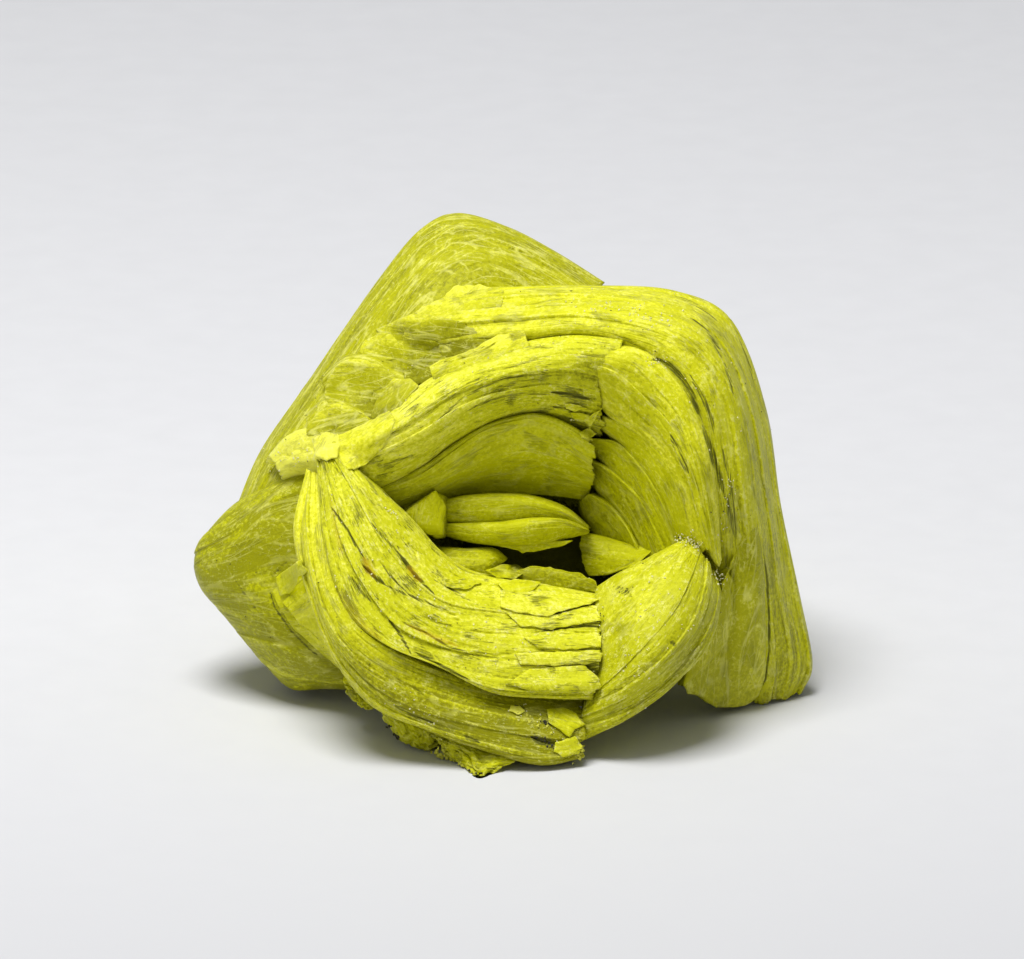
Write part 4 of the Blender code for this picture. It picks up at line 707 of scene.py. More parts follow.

# --------------------------------------------------------------------------------------------------
# The hood: the great bent sheaf of autunite over the top and down the right side, ending in the right foot.
# Its plates grew curving over the hollow, and handling has rounded and scuffed them.
# The slits are where plates have sprung apart and dirt has settled; they are darkened with that dirt and with
# painted shade.
HOOD = (
    (
        (
            (-8.2, 9.6, -15.4), (-4.6, 9.0, -12.6), (0.0, 9.5, -9.6), (5.0, 9.9, -8.4),
            (9.2, 8.7, -7.5), (11.3, 7.0, -7.1), (12.9, 4.4, -7.0), (14.0, -1.2, -7.8),
            (14.3, -6.6, -10.4), (14.6, -11.4, -13.8), (14.8, -14.5, -16.0),
        ),
        (
            (-7.9, 10.3, -14.0), (-4.5, 9.9, -11.6), (0.0, 10.3, -8.9), (5.0, 10.7, -7.9),
            (9.9, 9.7, -7.1), (12.5, 7.8, -6.9), (14.2, 4.6, -7.0), (15.1, -1.4, -8.2),
            (15.6, -7.3, -10.9), (16.2, -12.0, -13.2), (16.4, -15.5, -15.5),
        ),
        (
            (-7.4, 11.1, -14.2), (-4.3, 11.5, -12.1), (0.0, 11.8, -10.2), (5.0, 12.1, -9.2),
            (10.6, 11.2, -8.1), (13.9, 9.1, -8.1), (15.9, 4.9, -8.5), (16.9, -1.6, -9.8),
            (17.8, -8.0, -12.6), (18.3, -12.6, -14.2), (18.0, -15.85, -15.9),
        ),
        (
            (-6.9, 11.7, -15.5), (-4.2, 12.7, -14.4), (0.0, 13.1, -13.0), (5.0, 13.2, -12.2),
            (10.9, 12.6, -11.8), (14.8, 10.2, -12.0), (17.0, 5.0, -12.4), (18.2, -1.6, -13.4),
            (19.2, -8.2, -14.8), (20.1, -12.8, -15.8), (19.4, -15.5, -16.7),
        ),
        (
            (-6.8, 11.8, -17.0), (-4.0, 13.3, -16.8), (0.0, 13.55, -16.4), (5.5, 13.65, -16.0),
            (11.4, 13.3, -15.8), (15.5, 11.2, -15.8), (17.9, 5.0, -16.0), (18.9, -1.8, -16.4),
            (20.2, -8.0, -17.0), (21.1, -12.8, -17.6), (20.4, -14.9, -18.0),
        ),
        (
            (-6.5, 11.0, -20.0), (-4.0, 12.3, -20.4), (0.0, 12.7, -20.6), (5.5, 12.8, -20.4),
            (11.0, 12.4, -20.4), (14.9, 10.4, -20.4), (17.3, 4.6, -20.4), (18.2, -2.0, -20.4),
            (19.3, -8.0, -20.6), (20.0, -12.4, -20.6), (19.4, -14.2, -20.2),
        ),
    ),
    (4.0, 1.0, -25.0),
    ((0.3, 0.25), (0.42, 0.0), (0.52, 0.25), (0.63, 0.0), (0.72, 0.2)),
)
# painted light and shade: lighter where it runs over the top, darker down the right side
sheaf(
    "hood", HOOD, worn, 31, (230, 220), (
        (7, 0.04, 0.6, (4, 4)), (24, 0.014, 0.9, (8, 7)), (80, 0.008, 1.0, (20, 20)),
    ), torn=(0.9, 0.2), faults=0.05, tone_offset_and_painted_light=(0.3, -0.35),
    slits=(
        (((7.0, 10.2), (8.2, 9.7), (9.4, 8.9)), 0.2, 0.1),
        (((9.4, 8.3), (10.2, 8.4), (11.0, 8.0), (11.8, 7.2), (12.6, 5.9), (13.2, 4.3)), 0.28, 0.22),
        (((12.4, 7.4), (13.2, 6.0), (13.9, 4.5), (14.2, 3.0)), 0.22, 0.2),
        (((13.3, 3.9), (14.0, 1.9), (14.6, 0.0), (15.0, -1.6)), 0.25, 0.25),
        (((11.2, 13.0), (12.6, 12.5), (13.8, 11.8), (14.8, 10.9)), 0.15, 0.06),
        (((13.6, 10.3), (14.3, 9.5), (14.8, 8.2), (15.1, 7.0)), 0.18, 0.1),
        (((15.0, 12.0), (15.8, 10.5), (16.6, 8.4), (17.3, 6.0)), 0.1, 0.06),
        (((15.2, -0.8), (15.3, -2.5), (15.6, -4.0)), 0.3, 0.15),
        (
            ((17.5, -4.4), (17.8, -7.0), (17.95, -9.5), (18.0, -12.0), (17.75, -14.0), (17.1, -15.5)),
            0.1, 0.3,
        ),
        (((15.2, -8.0), (16.4, -8.1)), 0.14, 0.3),
        (((12.2, 11.6), (13.6, 10.6), (14.6, 9.0), (15.2, 7.0), (15.5, 5.0)), 0.14, 0.1),
        (((14.6, 2.6), (15.2, 0.4), (15.6, -2.0), (15.7, -5.0)), 0.2, 0.15),
    ),
)

# --------------------------------------------------------------------------------------------------
# The left lobe: a thick book of autunite seen on its cleavage face, ending in the left foot, painted darker
# as shade.
# The two steps beside it are plates of the same book that broke off shorter.
LEFT_LOBE = (
    (
        (
            (-20.2, -4.2, -21.0), (-20.2, -3.2, -20.4), (-18.7, -1.8, -20.0),
            (-16.2, -1.0, -19.6), (-13.0, -0.2, -18.6),
        ),
        (
            (-21.2, -4.3, -20.0), (-21.3, -3.5, -17.8), (-19.6, -1.7, -17.0),
            (-17.2, -0.4, -16.2), (-14.0, 1.2, -15.0),
        ),
        (
            (-21.8, -5.2, -19.8), (-22.1, -4.6, -16.6), (-19.5, -2.9, -14.8),
            (-17.0, -1.1, -13.6), (-13.8, 0.4, -12.0),
        ),
        (
            (-22.0, -6.6, -19.8), (-22.35, -6.1, -16.4), (-19.7, -5.0, -13.6),
            (-17.0, -3.8, -12.2), (-13.2, -3.2, -10.8),
        ),
        (
            (-21.4, -8.2, -19.6), (-21.7, -7.9, -16.0), (-18.9, -7.8, -13.0),
            (-16.2, -7.6, -11.8), (-12.4, -7.8, -10.4),
        ),
        (
            (-19.4, -9.6, -19.6), (-20.2, -9.8, -16.0), (-17.8, -10.4, -13.2),
            (-15.2, -10.8, -12.0), (-11.4, -11.2, -10.8),
        ),
        (
            (-17.6, -11.8, -19.8), (-18.3, -12.1, -16.2), (-16.4, -13.0, -14.2),
            (-14.2, -13.4, -13.0), (-10.6, -13.6, -12.2),
        ),
        (
            (-16.8, -12.9, -20.0), (-17.1, -13.5, -17.4), (-15.5, -14.8, -16.0),
            (-13.2, -14.75, -15.2), (-10.4, -14.9, -14.6),
        ),
        (
            (-15.6, -13.2, -21.6), (-16.4, -13.7, -20.2), (-15.2, -14.3, -19.4),
            (-13.0, -14.4, -19.0), (-10.2, -14.5, -18.2),
        ),
    ),
    (-8.5, -5.0, -25.0),
    ((0.2, 0.15), (0.3, 0.0), (0.68, 0.2), (0.8, 0.0)),
)
sheaf(
    "left_lobe", LEFT_LOBE, faces, 51, (190, 130), (
        (6, 0.05, 0.6, (4, 4)), (18, 0.018, 0.8, (6, 6)), (60, 0.008, 1.0, (16, 16)),
    ), tone_offset_and_painted_light=-0.7,
    slits=(
        (((-17.2, -7.4), (-16.7, -9.0), (-15.6, -10.6), (-14.2, -12.0), (-12.9, -12.9)), 0.09, 0.2),
        (((-17.1, -7.0), (-16.2, -6.1), (-15.2, -5.2)), 0.1, 0.2),
        (((-19.8, -6.6), (-18.6, -8.4), (-17.6, -9.6)), 0.12, 0.05),
    ),
)
LEFT_STEPS = (
    (
        (
            ((-16.8, -7.6, -13.6), (-15.8, -6.8, -13.4), (-14.6, -5.6, -13.0), (-13.4, -4.8, -12.4)),
            ((-17.0, -7.8, -12.2), (-15.9, -6.9, -11.7), (-14.7, -5.8, -11.0), (-13.4, -5.0, -10.2)),
            ((-16.4, -9.2, -12.0), (-15.0, -8.8, -11.2), (-13.8, -8.4, -10.2), (-12.4, -8.2, -9.4)),
            ((-15.4, -10.6, -12.2), (-14.2, -10.8, -11.4), (-12.8, -11.0, -10.2), (-11.4, -11.0, -9.2)),
            ((-13.2, -12.8, -12.8), (-12.4, -13.0, -12.0), (-11.4, -13.2, -10.8), (-10.4, -13.4, -9.8)),
            (
                (-13.0, -13.2, -14.6), (-12.2, -13.4, -14.0), (-11.2, -13.6, -13.0), (-10.2, -13.8, -12.0),
            ),
        ),
        (-8.0, -7.0, -21.0),
        ((0.5, 0.1),),
    ),
    (
        (
            ((-16.2, -8.6, -12.6), (-15.2, -7.6, -12.2), (-14.2, -6.6, -11.6), (-13.2, -6.0, -11.0)),
            ((-16.1, -8.8, -11.3), (-15.2, -7.8, -10.7), (-14.2, -6.8, -10.0), (-13.2, -6.2, -9.4)),
            ((-15.2, -9.8, -11.0), (-14.2, -9.4, -10.2), (-13.4, -9.0, -9.4), (-12.4, -8.8, -8.8)),
            ((-13.0, -12.4, -11.4), (-12.4, -12.6, -10.6), (-11.6, -12.6, -9.8), (-10.8, -12.6, -9.0)),
            (
                (-12.4, -13.2, -13.0), (-11.8, -13.3, -12.2), (-11.0, -13.4, -11.4), (-10.2, -13.4, -10.6),
            ),
        ),
        (-7.0, -7.0, -21.0),
        ((0.5, 0.1),),
    ),
)
for number, given in enumerate(LEFT_STEPS):
    sheaf(
        f"left_step_{number}", given, faces, 60 + number, (100, 70),
        ((3, 0.05, 0.4, (3, 3)), (9, 0.02, 0.8, (6, 6))),
        torn=(0.3, 0.2), tone_offset_and_painted_light=0.3,
    )

# --------------------------------------------------------------------------------------------------
# The arch over the hollow, and its lining: one autunite sheaf, the edges of its plates outside.
# The lining is the smooth cleavage face of its lowest plates, with a pale rim where they have parted.
ARCH = (
    (
        (
            (-11.9, 3.0, -10.5), (-9.4, 4.4, -10.8), (-6.8, 6.2, -11.2), (-4.0, 7.9, -11.2),
            (-1.2, 8.8, -11.0), (1.8, 9.5, -10.6), (4.7, 9.8, -10.2), (8.0, 9.5, -9.8),
        ),
        (
            (-11.8, 2.9, -9.0), (-9.5, 4.45, -8.6), (-6.9, 6.3, -8.6), (-4.1, 8.1, -8.6),
            (-1.3, 9.1, -8.5), (1.7, 9.8, -8.2), (4.6, 10.1, -8.0), (7.8, 9.8, -7.6),
        ),
        (
            (-11.6, 2.6, -7.9), (-9.3, 3.9, -6.9), (-6.7, 5.6, -6.7), (-4.0, 7.3, -6.7),
            (-1.2, 8.3, -6.7), (1.7, 8.8, -6.6), (4.5, 9.0, -6.6), (7.4, 8.6, -6.6),
        ),
        (
            (-11.5, 1.9, -7.5), (-9.1, 2.9, -6.1), (-6.4, 4.3, -5.9), (-3.8, 5.9, -5.9),
            (-1.1, 7.0, -6.0), (1.7, 7.5, -6.1), (4.3, 7.5, -6.5), (6.4, 6.9, -7.4),
        ),
        (
            (-11.6, 1.1, -7.8), (-9.0, 1.6, -6.5), (-6.2, 2.8, -6.3), (-3.6, 4.4, -6.4),
            (-1.0, 5.6, -6.7), (1.8, 6.0, -7.1), (4.3, 5.9, -7.5), (6.5, 5.4, -8.2),
        ),
        (
            (-11.4, 0.3, -8.3), (-9.1, 0.3, -7.4), (-6.3, 1.5, -7.5), (-3.8, 3.1, -7.8),
            (-1.0, 4.5, -8.1), (1.8, 5.0, -8.4), (4.3, 4.6, -8.8), (6.6, 4.0, -9.4),
        ),
        (
            (-11.0, -0.5, -9.2), (-9.1, -0.6, -9.0), (-6.2, 0.7, -9.4), (-4.0, 2.3, -9.8),
            (-1.0, 3.8, -10.2), (1.7, 4.3, -10.4), (4.2, 3.7, -10.8), (6.6, 2.9, -11.2),
        ),
    ),
    (-1.0, 3.0, -22.0),
    ((0.38, 0.2), (0.5, -0.05), (0.6, 0.2), (0.7, 0.0), (0.82, 0.15)),
)
sheaf(
    "arch", ARCH, edges, 71, (210, 190), (
        (6, 0.05, 0.6, (4, 4)), (22, 0.018, 0.9, (8, 7)), (70, 0.009, 1.0, (18, 18)),
    ), torn=(0.2, 0.9), torn_from=0.42, faults=0.04, tone_offset_and_painted_light=(0.45, -0.35),
    slits=(
        (((-5.4, 3.9), (-3.2, 5.9), (-0.6, 7.1), (2.2, 7.4)), 0.14, 0.1),
        (((-3.4, 4.6), (-1.4, 5.6), (0.8, 6.0), (3.0, 5.9)), 0.12, 0.1),
        (((2.6, 6.1), (4.2, 5.9), (5.6, 5.6)), 0.2, 0.3),
        (((2.8, 5.1), (3.9, 4.9), (4.8, 4.3)), 0.2, 0.3),
    ),
)
ARCH_LINING = (
    (
        (
            (-9.6, -0.3, -10.6), (-6.5, 1.1, -10.4), (-4.2, 2.7, -10.4), (-2.0, 3.9, -10.5),
            (0.2, 4.5, -10.6), (1.9, 4.65, -10.8), (3.9, 3.9, -11.2), (5.8, 2.8, -11.6),
        ),
        (
            (-9.6, -0.7, -8.9), (-6.5, 0.7, -8.5), (-4.2, 2.3, -8.4), (-2.0, 3.7, -8.5),
            (0.2, 4.4, -8.6), (1.9, 4.6, -8.7), (3.9, 3.9, -9.2), (5.8, 2.7, -9.8),
        ),
        (
            (-9.0, -1.1, -9.2), (-6.3, 0.0, -8.9), (-4.1, 1.5, -8.9), (-2.0, 3.0, -8.9),
            (0.2, 3.7, -9.0), (2.0, 3.7, -9.1), (3.9, 3.0, -9.6), (5.9, 1.6, -10.3),
        ),
        (
            (-8.4, -1.6, -9.8), (-6.1, -0.7, -9.6), (-4.0, 0.4, -9.7), (-1.9, 1.5, -9.8),
            (0.3, 2.1, -9.9), (2.1, 2.0, -10.1), (3.9, 1.4, -10.5), (5.9, 0.4, -11.1),
        ),
        (
            (-7.8, -2.1, -10.6), (-5.9, -1.3, -10.8), (-3.9, -0.3, -11.0), (-1.8, 0.4, -11.2),
            (0.3, 0.7, -11.4), (2.1, 0.6, -11.6), (3.9, 0.2, -11.9), (5.8, -0.4, -12.4),
        ),
        (
            (-7.4, -2.7, -11.6), (-5.6, -1.9, -12.2), (-3.8, -1.2, -12.8), (-1.6, -1.0, -13.2),
            (0.4, -1.0, -13.4), (2.2, -1.1, -13.6), (4.0, -1.3, -14.0), (5.4, -1.5, -14.4),
        ),
    ),
    (-1.0, 1.0, -23.0),
    ((0.3, 0.15), (0.42, 0.0), (0.62, 0.15), (0.75, 0.0)),
)
sheaf(
    "arch_lining", ARCH_LINING, faces, 81, (150, 140),
    ((4, 0.05, 0.4, (3, 3)), (14, 0.02, 0.8, (6, 6)), (40, 0.008, 1.0, (12, 12))),
    torn=(0.2, 0.4), rim=0.8, tone_offset_and_painted_light=0.25,
)

# --------------------------------------------------------------------------------------------------
# The bowl: curved autunite blades down the right of the hollow, under one broader sheaf.
# Each blade is a few plates thick, grown along its neighbour, with a pale free rim.
BOWL_WALL = (
    (
        (
            (4.7, 7.4, -9.6), (6.0, 5.4, -10.2), (7.3, 3.6, -10.2),
            (9.1, 2.0, -9.2), (10.9, -0.9, -8.8), (12.6, -5.4, -9.6),
        ),
        (
            (4.8, 7.7, -7.9), (6.1, 5.6, -8.4), (7.6, 4.0, -8.5),
            (9.5, 2.5, -7.6), (11.4, -0.5, -7.0), (13.0, -5.4, -8.4),
        ),
        (
            (5.0, 8.3, -6.6), (7.2, 6.9, -6.7), (9.0, 5.2, -6.6),
            (10.8, 3.3, -6.0), (12.4, 0.3, -5.7), (13.8, -5.0, -6.8),
        ),
        (
            (5.6, 9.1, -6.4), (8.3, 8.2, -6.1), (10.2, 6.4, -5.8),
            (11.9, 4.0, -5.5), (13.2, 0.5, -5.6), (14.4, -6.1, -7.4),
        ),
        (
            (6.2, 9.8, -7.0), (9.2, 8.9, -6.7), (11.2, 7.2, -6.4),
            (12.8, 4.7, -6.2), (14.1, 0.8, -6.5), (14.7, -5.9, -8.6),
        ),
        (
            (6.4, 9.9, -8.8), (9.4, 9.0, -8.6), (11.6, 7.1, -8.4),
            (13.2, 4.7, -8.2), (14.4, 0.8, -8.8), (14.6, -5.6, -10.4),
        ),
    ),
    (8.0, 1.0, -21.0),
    ((0.34, 0.25), (0.46, 0.0), (0.58, 0.2), (0.7, 0.0)),
)
sheaf(
    "bowl_wall", BOWL_WALL, worn, 91, (170, 130), (
        (6, 0.06, 0.5, (4, 4)), (20, 0.02, 0.9, (8, 7)), (60, 0.01, 1.0, (16, 14)),
    ), torn=(0.2, 0.1), faults=0.04, sink=(0.9, 0.0),
    slits=(
        (((9.4, 8.3), (10.2, 8.4), (11.0, 8.0), (11.8, 7.2), (12.6, 5.9), (13.2, 4.3)), 0.28, 0.22),
        (((11.0, 3.2), (11.6, 1.9), (12.3, 0.3)), 0.28, 0.2),
        (((9.6, 0.8), (10.5, -0.8), (11.3, -2.3), (11.9, -3.6)), 0.35, 0.35),
        (((13.3, 3.9), (14.0, 1.9), (14.6, 0.0)), 0.25, 0.25),
    ),
)
BOWL_BLADES = (
    (
        (
            (
                (4.6, -1.6, -16.5), (4.9, -2.8, -16.5), (5.8, -4.1, -16.2),
                (7.1, -5.1, -15.6), (8.4, -5.8, -14.6),
            ),
            (
                (4.7, -1.4, -14.5), (5.1, -2.6, -14.6), (6.0, -3.9, -14.4),
                (7.3, -4.9, -13.8), (8.9, -6.2, -12.8),
            ),
            (
                (5.0, -1.1, -13.4), (5.8, -2.0, -13.2), (6.9, -3.1, -12.8),
                (8.0, -4.3, -12.2), (9.1, -6.2, -11.6),
            ),
            (
                (5.3, -0.9, -13.0), (6.4, -1.5, -12.4), (7.5, -2.5, -11.8),
                (8.4, -3.9, -11.3), (9.4, -6.0, -11.0),
            ),
            (
                (5.6, -0.8, -14.6), (6.9, -1.4, -14.0), (8.0, -2.4, -13.4),
                (8.9, -3.8, -12.9), (9.5, -5.2, -12.6),
            ),
        ),
        (8.0, -1.0, -23.0),
        ((0.5, 0.1),),
    ),
    (
        (
            (
                (4.9, 0.8, -15.4), (5.7, -0.6, -15.2), (6.9, -2.0, -14.4),
                (8.2, -3.5, -13.6), (9.2, -5.2, -12.8),
            ),
            (
                (4.9, 0.9, -13.6), (5.7, -0.4, -13.4), (6.9, -1.8, -12.6),
                (8.2, -3.3, -11.8), (9.6, -5.8, -11.0),
            ),
            (
                (5.0, 1.2, -12.6), (6.1, 0.6, -12.0), (7.4, -0.6, -11.2),
                (8.7, -2.2, -10.4), (10.3, -5.6, -10.0),
            ),
            (
                (5.2, 1.5, -12.2), (6.4, 1.0, -11.3), (7.8, -0.1, -10.4),
                (9.2, -1.6, -9.7), (11.0, -5.4, -9.6),
            ),
            (
                (5.5, 1.5, -13.8), (6.9, 1.0, -12.9), (8.3, -0.1, -12.0),
                (9.7, -1.6, -11.3), (11.1, -4.5, -10.8),
            ),
        ),
        (8.5, 0.0, -23.0),
        ((0.5, 0.1),),
    ),
    (
        (
            (
                (5.2, 2.2, -14.0), (6.4, 1.0, -13.4), (7.8, -0.4, -12.4),
                (9.2, -2.1, -11.6), (10.6, -4.7, -11.2),
            ),
            (
                (5.2, 2.4, -12.2), (6.4, 1.2, -11.6), (7.8, -0.2, -10.6),
                (9.2, -1.9, -9.8), (10.9, -5.4, -9.8),
            ),
            (
                (5.4, 2.7, -11.4), (6.9, 2.2, -10.6), (8.3, 0.8, -9.6),
                (9.7, -1.3, -8.9), (11.5, -5.2, -9.2),
            ),
            (
                (5.6, 2.9, -11.0), (7.3, 2.6, -10.0), (8.9, 1.1, -8.9),
                (10.4, -1.2, -8.2), (12.0, -5.0, -9.0),
            ),
            (
                (5.9, 2.9, -12.6), (7.7, 2.6, -11.6), (9.3, 1.1, -10.5),
                (10.8, -1.2, -9.8), (12.2, -4.1, -9.8),
            ),
        ),
        (8.5, 1.0, -23.0),
        ((0.5, 0.1),),
    ),
    (
        (
            (
                (5.7, 3.8, -12.4), (7.1, 2.7, -12.0), (8.5, 1.4, -11.0),
                (9.9, -0.8, -10.2), (11.6, -4.2, -10.0),
            ),
            (
                (5.7, 4.0, -10.6), (7.1, 2.9, -10.2), (8.5, 1.6, -9.2),
                (9.9, -0.6, -8.4), (11.8, -5.0, -9.0),
            ),
            (
                (5.9, 4.2, -9.9), (7.6, 3.3, -9.1), (9.2, 2.2, -8.0),
                (10.9, -0.2, -7.2), (12.6, -4.9, -8.4),
            ),
            (
                (6.2, 4.5, -9.6), (8.0, 3.8, -8.5), (9.8, 2.6, -7.5),
                (11.6, 0.0, -6.8), (13.1, -4.8, -8.2),
            ),
            (
                (6.5, 4.5, -11.0), (8.4, 3.8, -10.0), (10.2, 2.6, -9.0),
                (12.0, 0.0, -8.4), (13.3, -4.1, -8.6),
            ),
        ),
        (8.5, 2.0, -23.0),
        ((0.5, 0.1),),
    ),
    (
        (
            ((4.5, -3.6, -14.6), (6.4, -4.0, -14.2), (8.6, -4.6, -13.4), (10.4, -4.4, -12.2)),
            ((4.6, -3.7, -13.2), (6.5, -4.1, -12.6), (8.7, -4.6, -11.6), (10.6, -4.3, -10.6)),
            ((4.7, -5.2, -12.8), (6.4, -5.3, -12.0), (8.2, -5.4, -11.1), (9.8, -5.1, -10.2)),
            ((5.3, -6.8, -12.8), (6.6, -6.7, -12.0), (7.8, -6.3, -11.2), (9.0, -5.8, -10.4)),
        ),
        (8.0, -6.8, -22.0),
        ((0.5, 0.05),),
    ),
)
for number, given in enumerate(BOWL_BLADES):
    sheaf(
        f"bowl_blade_{number}", given, faces, 100 + number, (70, 90),
        ((3, 0.05, 0.4, (3, 3)), (10, 0.02, 0.8, (6, 6)), (30, 0.01, 1.0, (10, 12))),
        torn=(0.3, 0.1), rim=0.5, tone_offset_and_painted_light=-0.15,
    )

# --------------------------------------------------------------------------------------------------
# Plates in the hollow: two long lens-shaped autunite books, a short one beside them, and one below.
# They grew free in the hollow, so their faces are whole and their rims thin.
HOLLOW_PLATES = (
    (
        (
            (
                (-5.4, -1.6, -12.4), (-3.4, -1.1, -12.0), (-0.8, -0.95, -12.0),
                (1.6, -1.15, -12.2), (3.8, -1.9, -12.8), (5.5, -3.3, -13.8),
            ),
            (
                (-5.2, -1.7, -11.0), (-3.4, -1.25, -10.2), (-0.8, -1.15, -10.0),
                (1.6, -1.35, -10.1), (3.8, -2.1, -10.8), (5.4, -3.4, -12.0),
            ),
            (
                (-5.1, -2.3, -10.8), (-3.3, -2.2, -10.0), (-0.8, -2.1, -9.7),
                (1.6, -2.1, -9.8), (3.8, -2.6, -10.5), (5.4, -3.5, -11.8),
            ),
            (
                (-4.9, -2.9, -11.2), (-3.1, -3.1, -10.6), (-0.8, -3.1, -10.4),
                (1.6, -2.9, -10.5), (3.7, -3.0, -11.1), (5.3, -3.6, -12.2),
            ),
            (
                (-4.9, -3.0, -13.0), (-3.1, -3.2, -12.6), (-0.8, -3.2, -12.6),
                (1.6, -3.1, -12.8), (3.7, -3.2, -13.2), (5.2, -3.7, -14.0),
            ),
        ),
        (0.0, -0.5, -23.0),
        ((0.5, 0.05),),
    ),
    (
        (
            (
                (-5.2, -3.0, -12.6), (-3.2, -3.0, -11.9), (-0.8, -2.9, -11.7),
                (1.6, -2.6, -11.7), (3.8, -2.7, -12.2), (5.6, -3.4, -13.4),
            ),
            (
                (-5.1, -3.1, -10.9), (-3.2, -3.1, -10.0), (-0.8, -3.0, -9.5),
                (1.6, -2.75, -9.4), (3.8, -2.85, -10.1), (5.5, -3.55, -11.6),
            ),
            (
                (-5.0, -3.5, -10.7), (-3.1, -3.8, -9.8), (-0.7, -3.8, -9.2),
                (1.7, -3.5, -9.1), (3.8, -3.3, -9.9), (5.5, -3.65, -11.5),
            ),
            (
                (-4.8, -3.9, -11.2), (-2.8, -4.4, -10.4), (-0.5, -4.6, -10.0),
                (1.8, -4.5, -10.0), (3.8, -4.1, -10.6), (5.4, -3.8, -11.9),
            ),
            (
                (-4.8, -4.0, -13.2), (-2.8, -4.5, -12.8), (-0.5, -4.7, -12.6),
                (1.8, -4.6, -12.6), (3.7, -4.2, -12.9), (5.2, -3.9, -13.8),
            ),
        ),
        (0.0, -4.2, -23.0),
        ((0.5, 0.05),),
    ),
    (
        (
            ((-7.8, -2.1, -11.2), (-6.6, -1.4, -11.0), (-5.6, -0.9, -11.2), (-4.2, -1.3, -12.6)),
            ((-7.7, -2.3, -9.9), (-6.5, -1.6, -9.3), (-5.4, -1.05, -9.3), (-4.2, -1.5, -11.2)),
            ((-7.3, -2.7, -9.6), (-6.3, -2.5, -9.0), (-5.4, -2.4, -8.9), (-4.2, -2.6, -11.0)),
            ((-6.7, -3.2, -9.7), (-6.0, -3.5, -9.3), (-5.3, -3.9, -9.4), (-4.2, -3.8, -11.2)),
            ((-6.4, -3.3, -11.8), (-5.9, -3.7, -11.8), (-5.3, -4.2, -12.0), (-4.2, -4.0, -13.0)),
        ),
        (-4.0, -2.0, -23.0),
        ((0.5, 0.1),),
    ),
    (
        (
            ((-5.6, -4.6, -13.0), (-3.4, -4.8, -12.6), (-1.4, -4.8, -12.6), (-0.4, -5.4, -13.0)),
            ((-5.5, -4.8, -10.6), (-3.4, -4.9, -10.2), (-1.3, -4.9, -10.4), (-0.3, -5.6, -11.0)),
            ((-4.9, -5.8, -9.6), (-3.2, -6.0, -9.2), (-1.6, -6.1, -9.6), (-0.8, -6.0, -10.4)),
            ((-4.3, -6.6, -9.6), (-3.0, -6.8, -9.4), (-1.6, -6.9, -9.8), (-0.8, -6.6, -10.6)),
        ),
        (-3.0, -5.0, -22.0),
        ((0.5, 0.1),),
    ),
)
# the lowest plate, deep in the hollow, is painted darker as shade
for number, given in enumerate(HOLLOW_PLATES):
    sheaf(
        f"hollow_plate_{number}", given, faces, 110 + number, (70, 100),
        ((3, 0.03, 0.3, (3, 3)), (12, 0.012, 0.8, (6, 6))),
        torn=(0.25, 0.12), rim=0.9, tone_offset_and_painted_light=(0.1, 0.1, -0.1, -0.5)[number],
        sink=(0.0, (0.0, 0.0, 2.5, 0.0)[number]),
    )

# --------------------------------------------------------------------------------------------------
# The lower bundle and its apron: the thick striped autunite sheaf that swings under the hollow.
# It shows the edges of hundreds of plates, parted in slits darkened with dirt and painted shade, and a little
# iron stain.
# The apron is its lower layer, torn off short at its right end, and painted darker toward that end as shade
# under the bundle's lip.
LOWER_BUNDLE = (
    (
        (
            (-12.4, 2.3, -9.5), (-10.4, 0.6, -8.5), (-8.4, -1.3, -8.0),
            (-6.6, -3.1, -8.0), (-5.0, -4.9, -8.0), (-3.0, -6.3, -8.5),
            (-0.4, -6.8, -9.0), (2.9, -7.4, -9.5), (6.3, -8.0, -10.0),
        ),
        (
            (-12.4, 2.3, -7.5), (-10.6, 0.4, -6.5), (-8.6, -1.7, -6.0),
            (-6.9, -3.5, -6.0), (-5.3, -5.3, -6.0), (-3.3, -6.7, -6.5),
            (-0.6, -7.2, -7.0), (2.8, -7.7, -7.5), (6.4, -8.3, -8.0),
        ),
        (
            (-12.7, 2.0, -7.0), (-11.2, -0.2, -5.0), (-9.6, -2.9, -3.9),
            (-8.1, -5.0, -3.6), (-6.5, -6.8, -3.6), (-4.2, -8.3, -4.0),
            (-1.1, -9.0, -4.6), (2.6, -9.5, -5.2), (6.4, -9.8, -5.8),
        ),
        (
            (-13.1, 1.8, -7.0), (-12.1, -1.0, -4.6), (-10.8, -4.0, -2.9),
            (-9.4, -6.6, -2.2), (-7.6, -8.7, -2.1), (-4.9, -10.2, -2.5),
            (-1.4, -10.9, -3.1), (2.5, -11.2, -3.8), (6.4, -11.3, -4.4),
        ),
        (
            (-13.5, 1.6, -7.2), (-12.9, -1.8, -4.8), (-12.0, -5.4, -2.8),
            (-10.6, -8.6, -1.6), (-8.4, -11.0, -1.2), (-5.2, -12.3, -1.5),
            (-1.6, -13.4, -2.0), (2.3, -13.7, -2.7), (6.35, -13.4, -3.4),
        ),
        (
            (-13.7, 1.5, -7.4), (-13.4, -2.2, -5.2), (-12.7, -6.2, -3.0),
            (-11.2, -9.6, -1.6), (-8.6, -11.6, -1.0), (-5.2, -13.0, -1.2),
            (-1.4, -14.8, -1.8), (2.3, -15.2, -2.6), (5.9, -15.3, -3.6),
        ),
        (
            (-13.6, 1.3, -8.6), (-13.2, -2.2, -7.0), (-12.4, -6.2, -5.0),
            (-10.9, -9.4, -3.8), (-8.4, -11.3, -3.4), (-5.0, -12.7, -3.6),
            (-1.4, -14.5, -4.0), (2.2, -14.9, -4.8), (5.5, -15.0, -5.8),
        ),
    ),
    (-4.0, -10.0, -20.0),
    ((0.27, 0.25), (0.36, -0.05), (0.5, 0.3), (0.6, 0.0), (0.7, 0.25), (0.78, 0.0)),
)
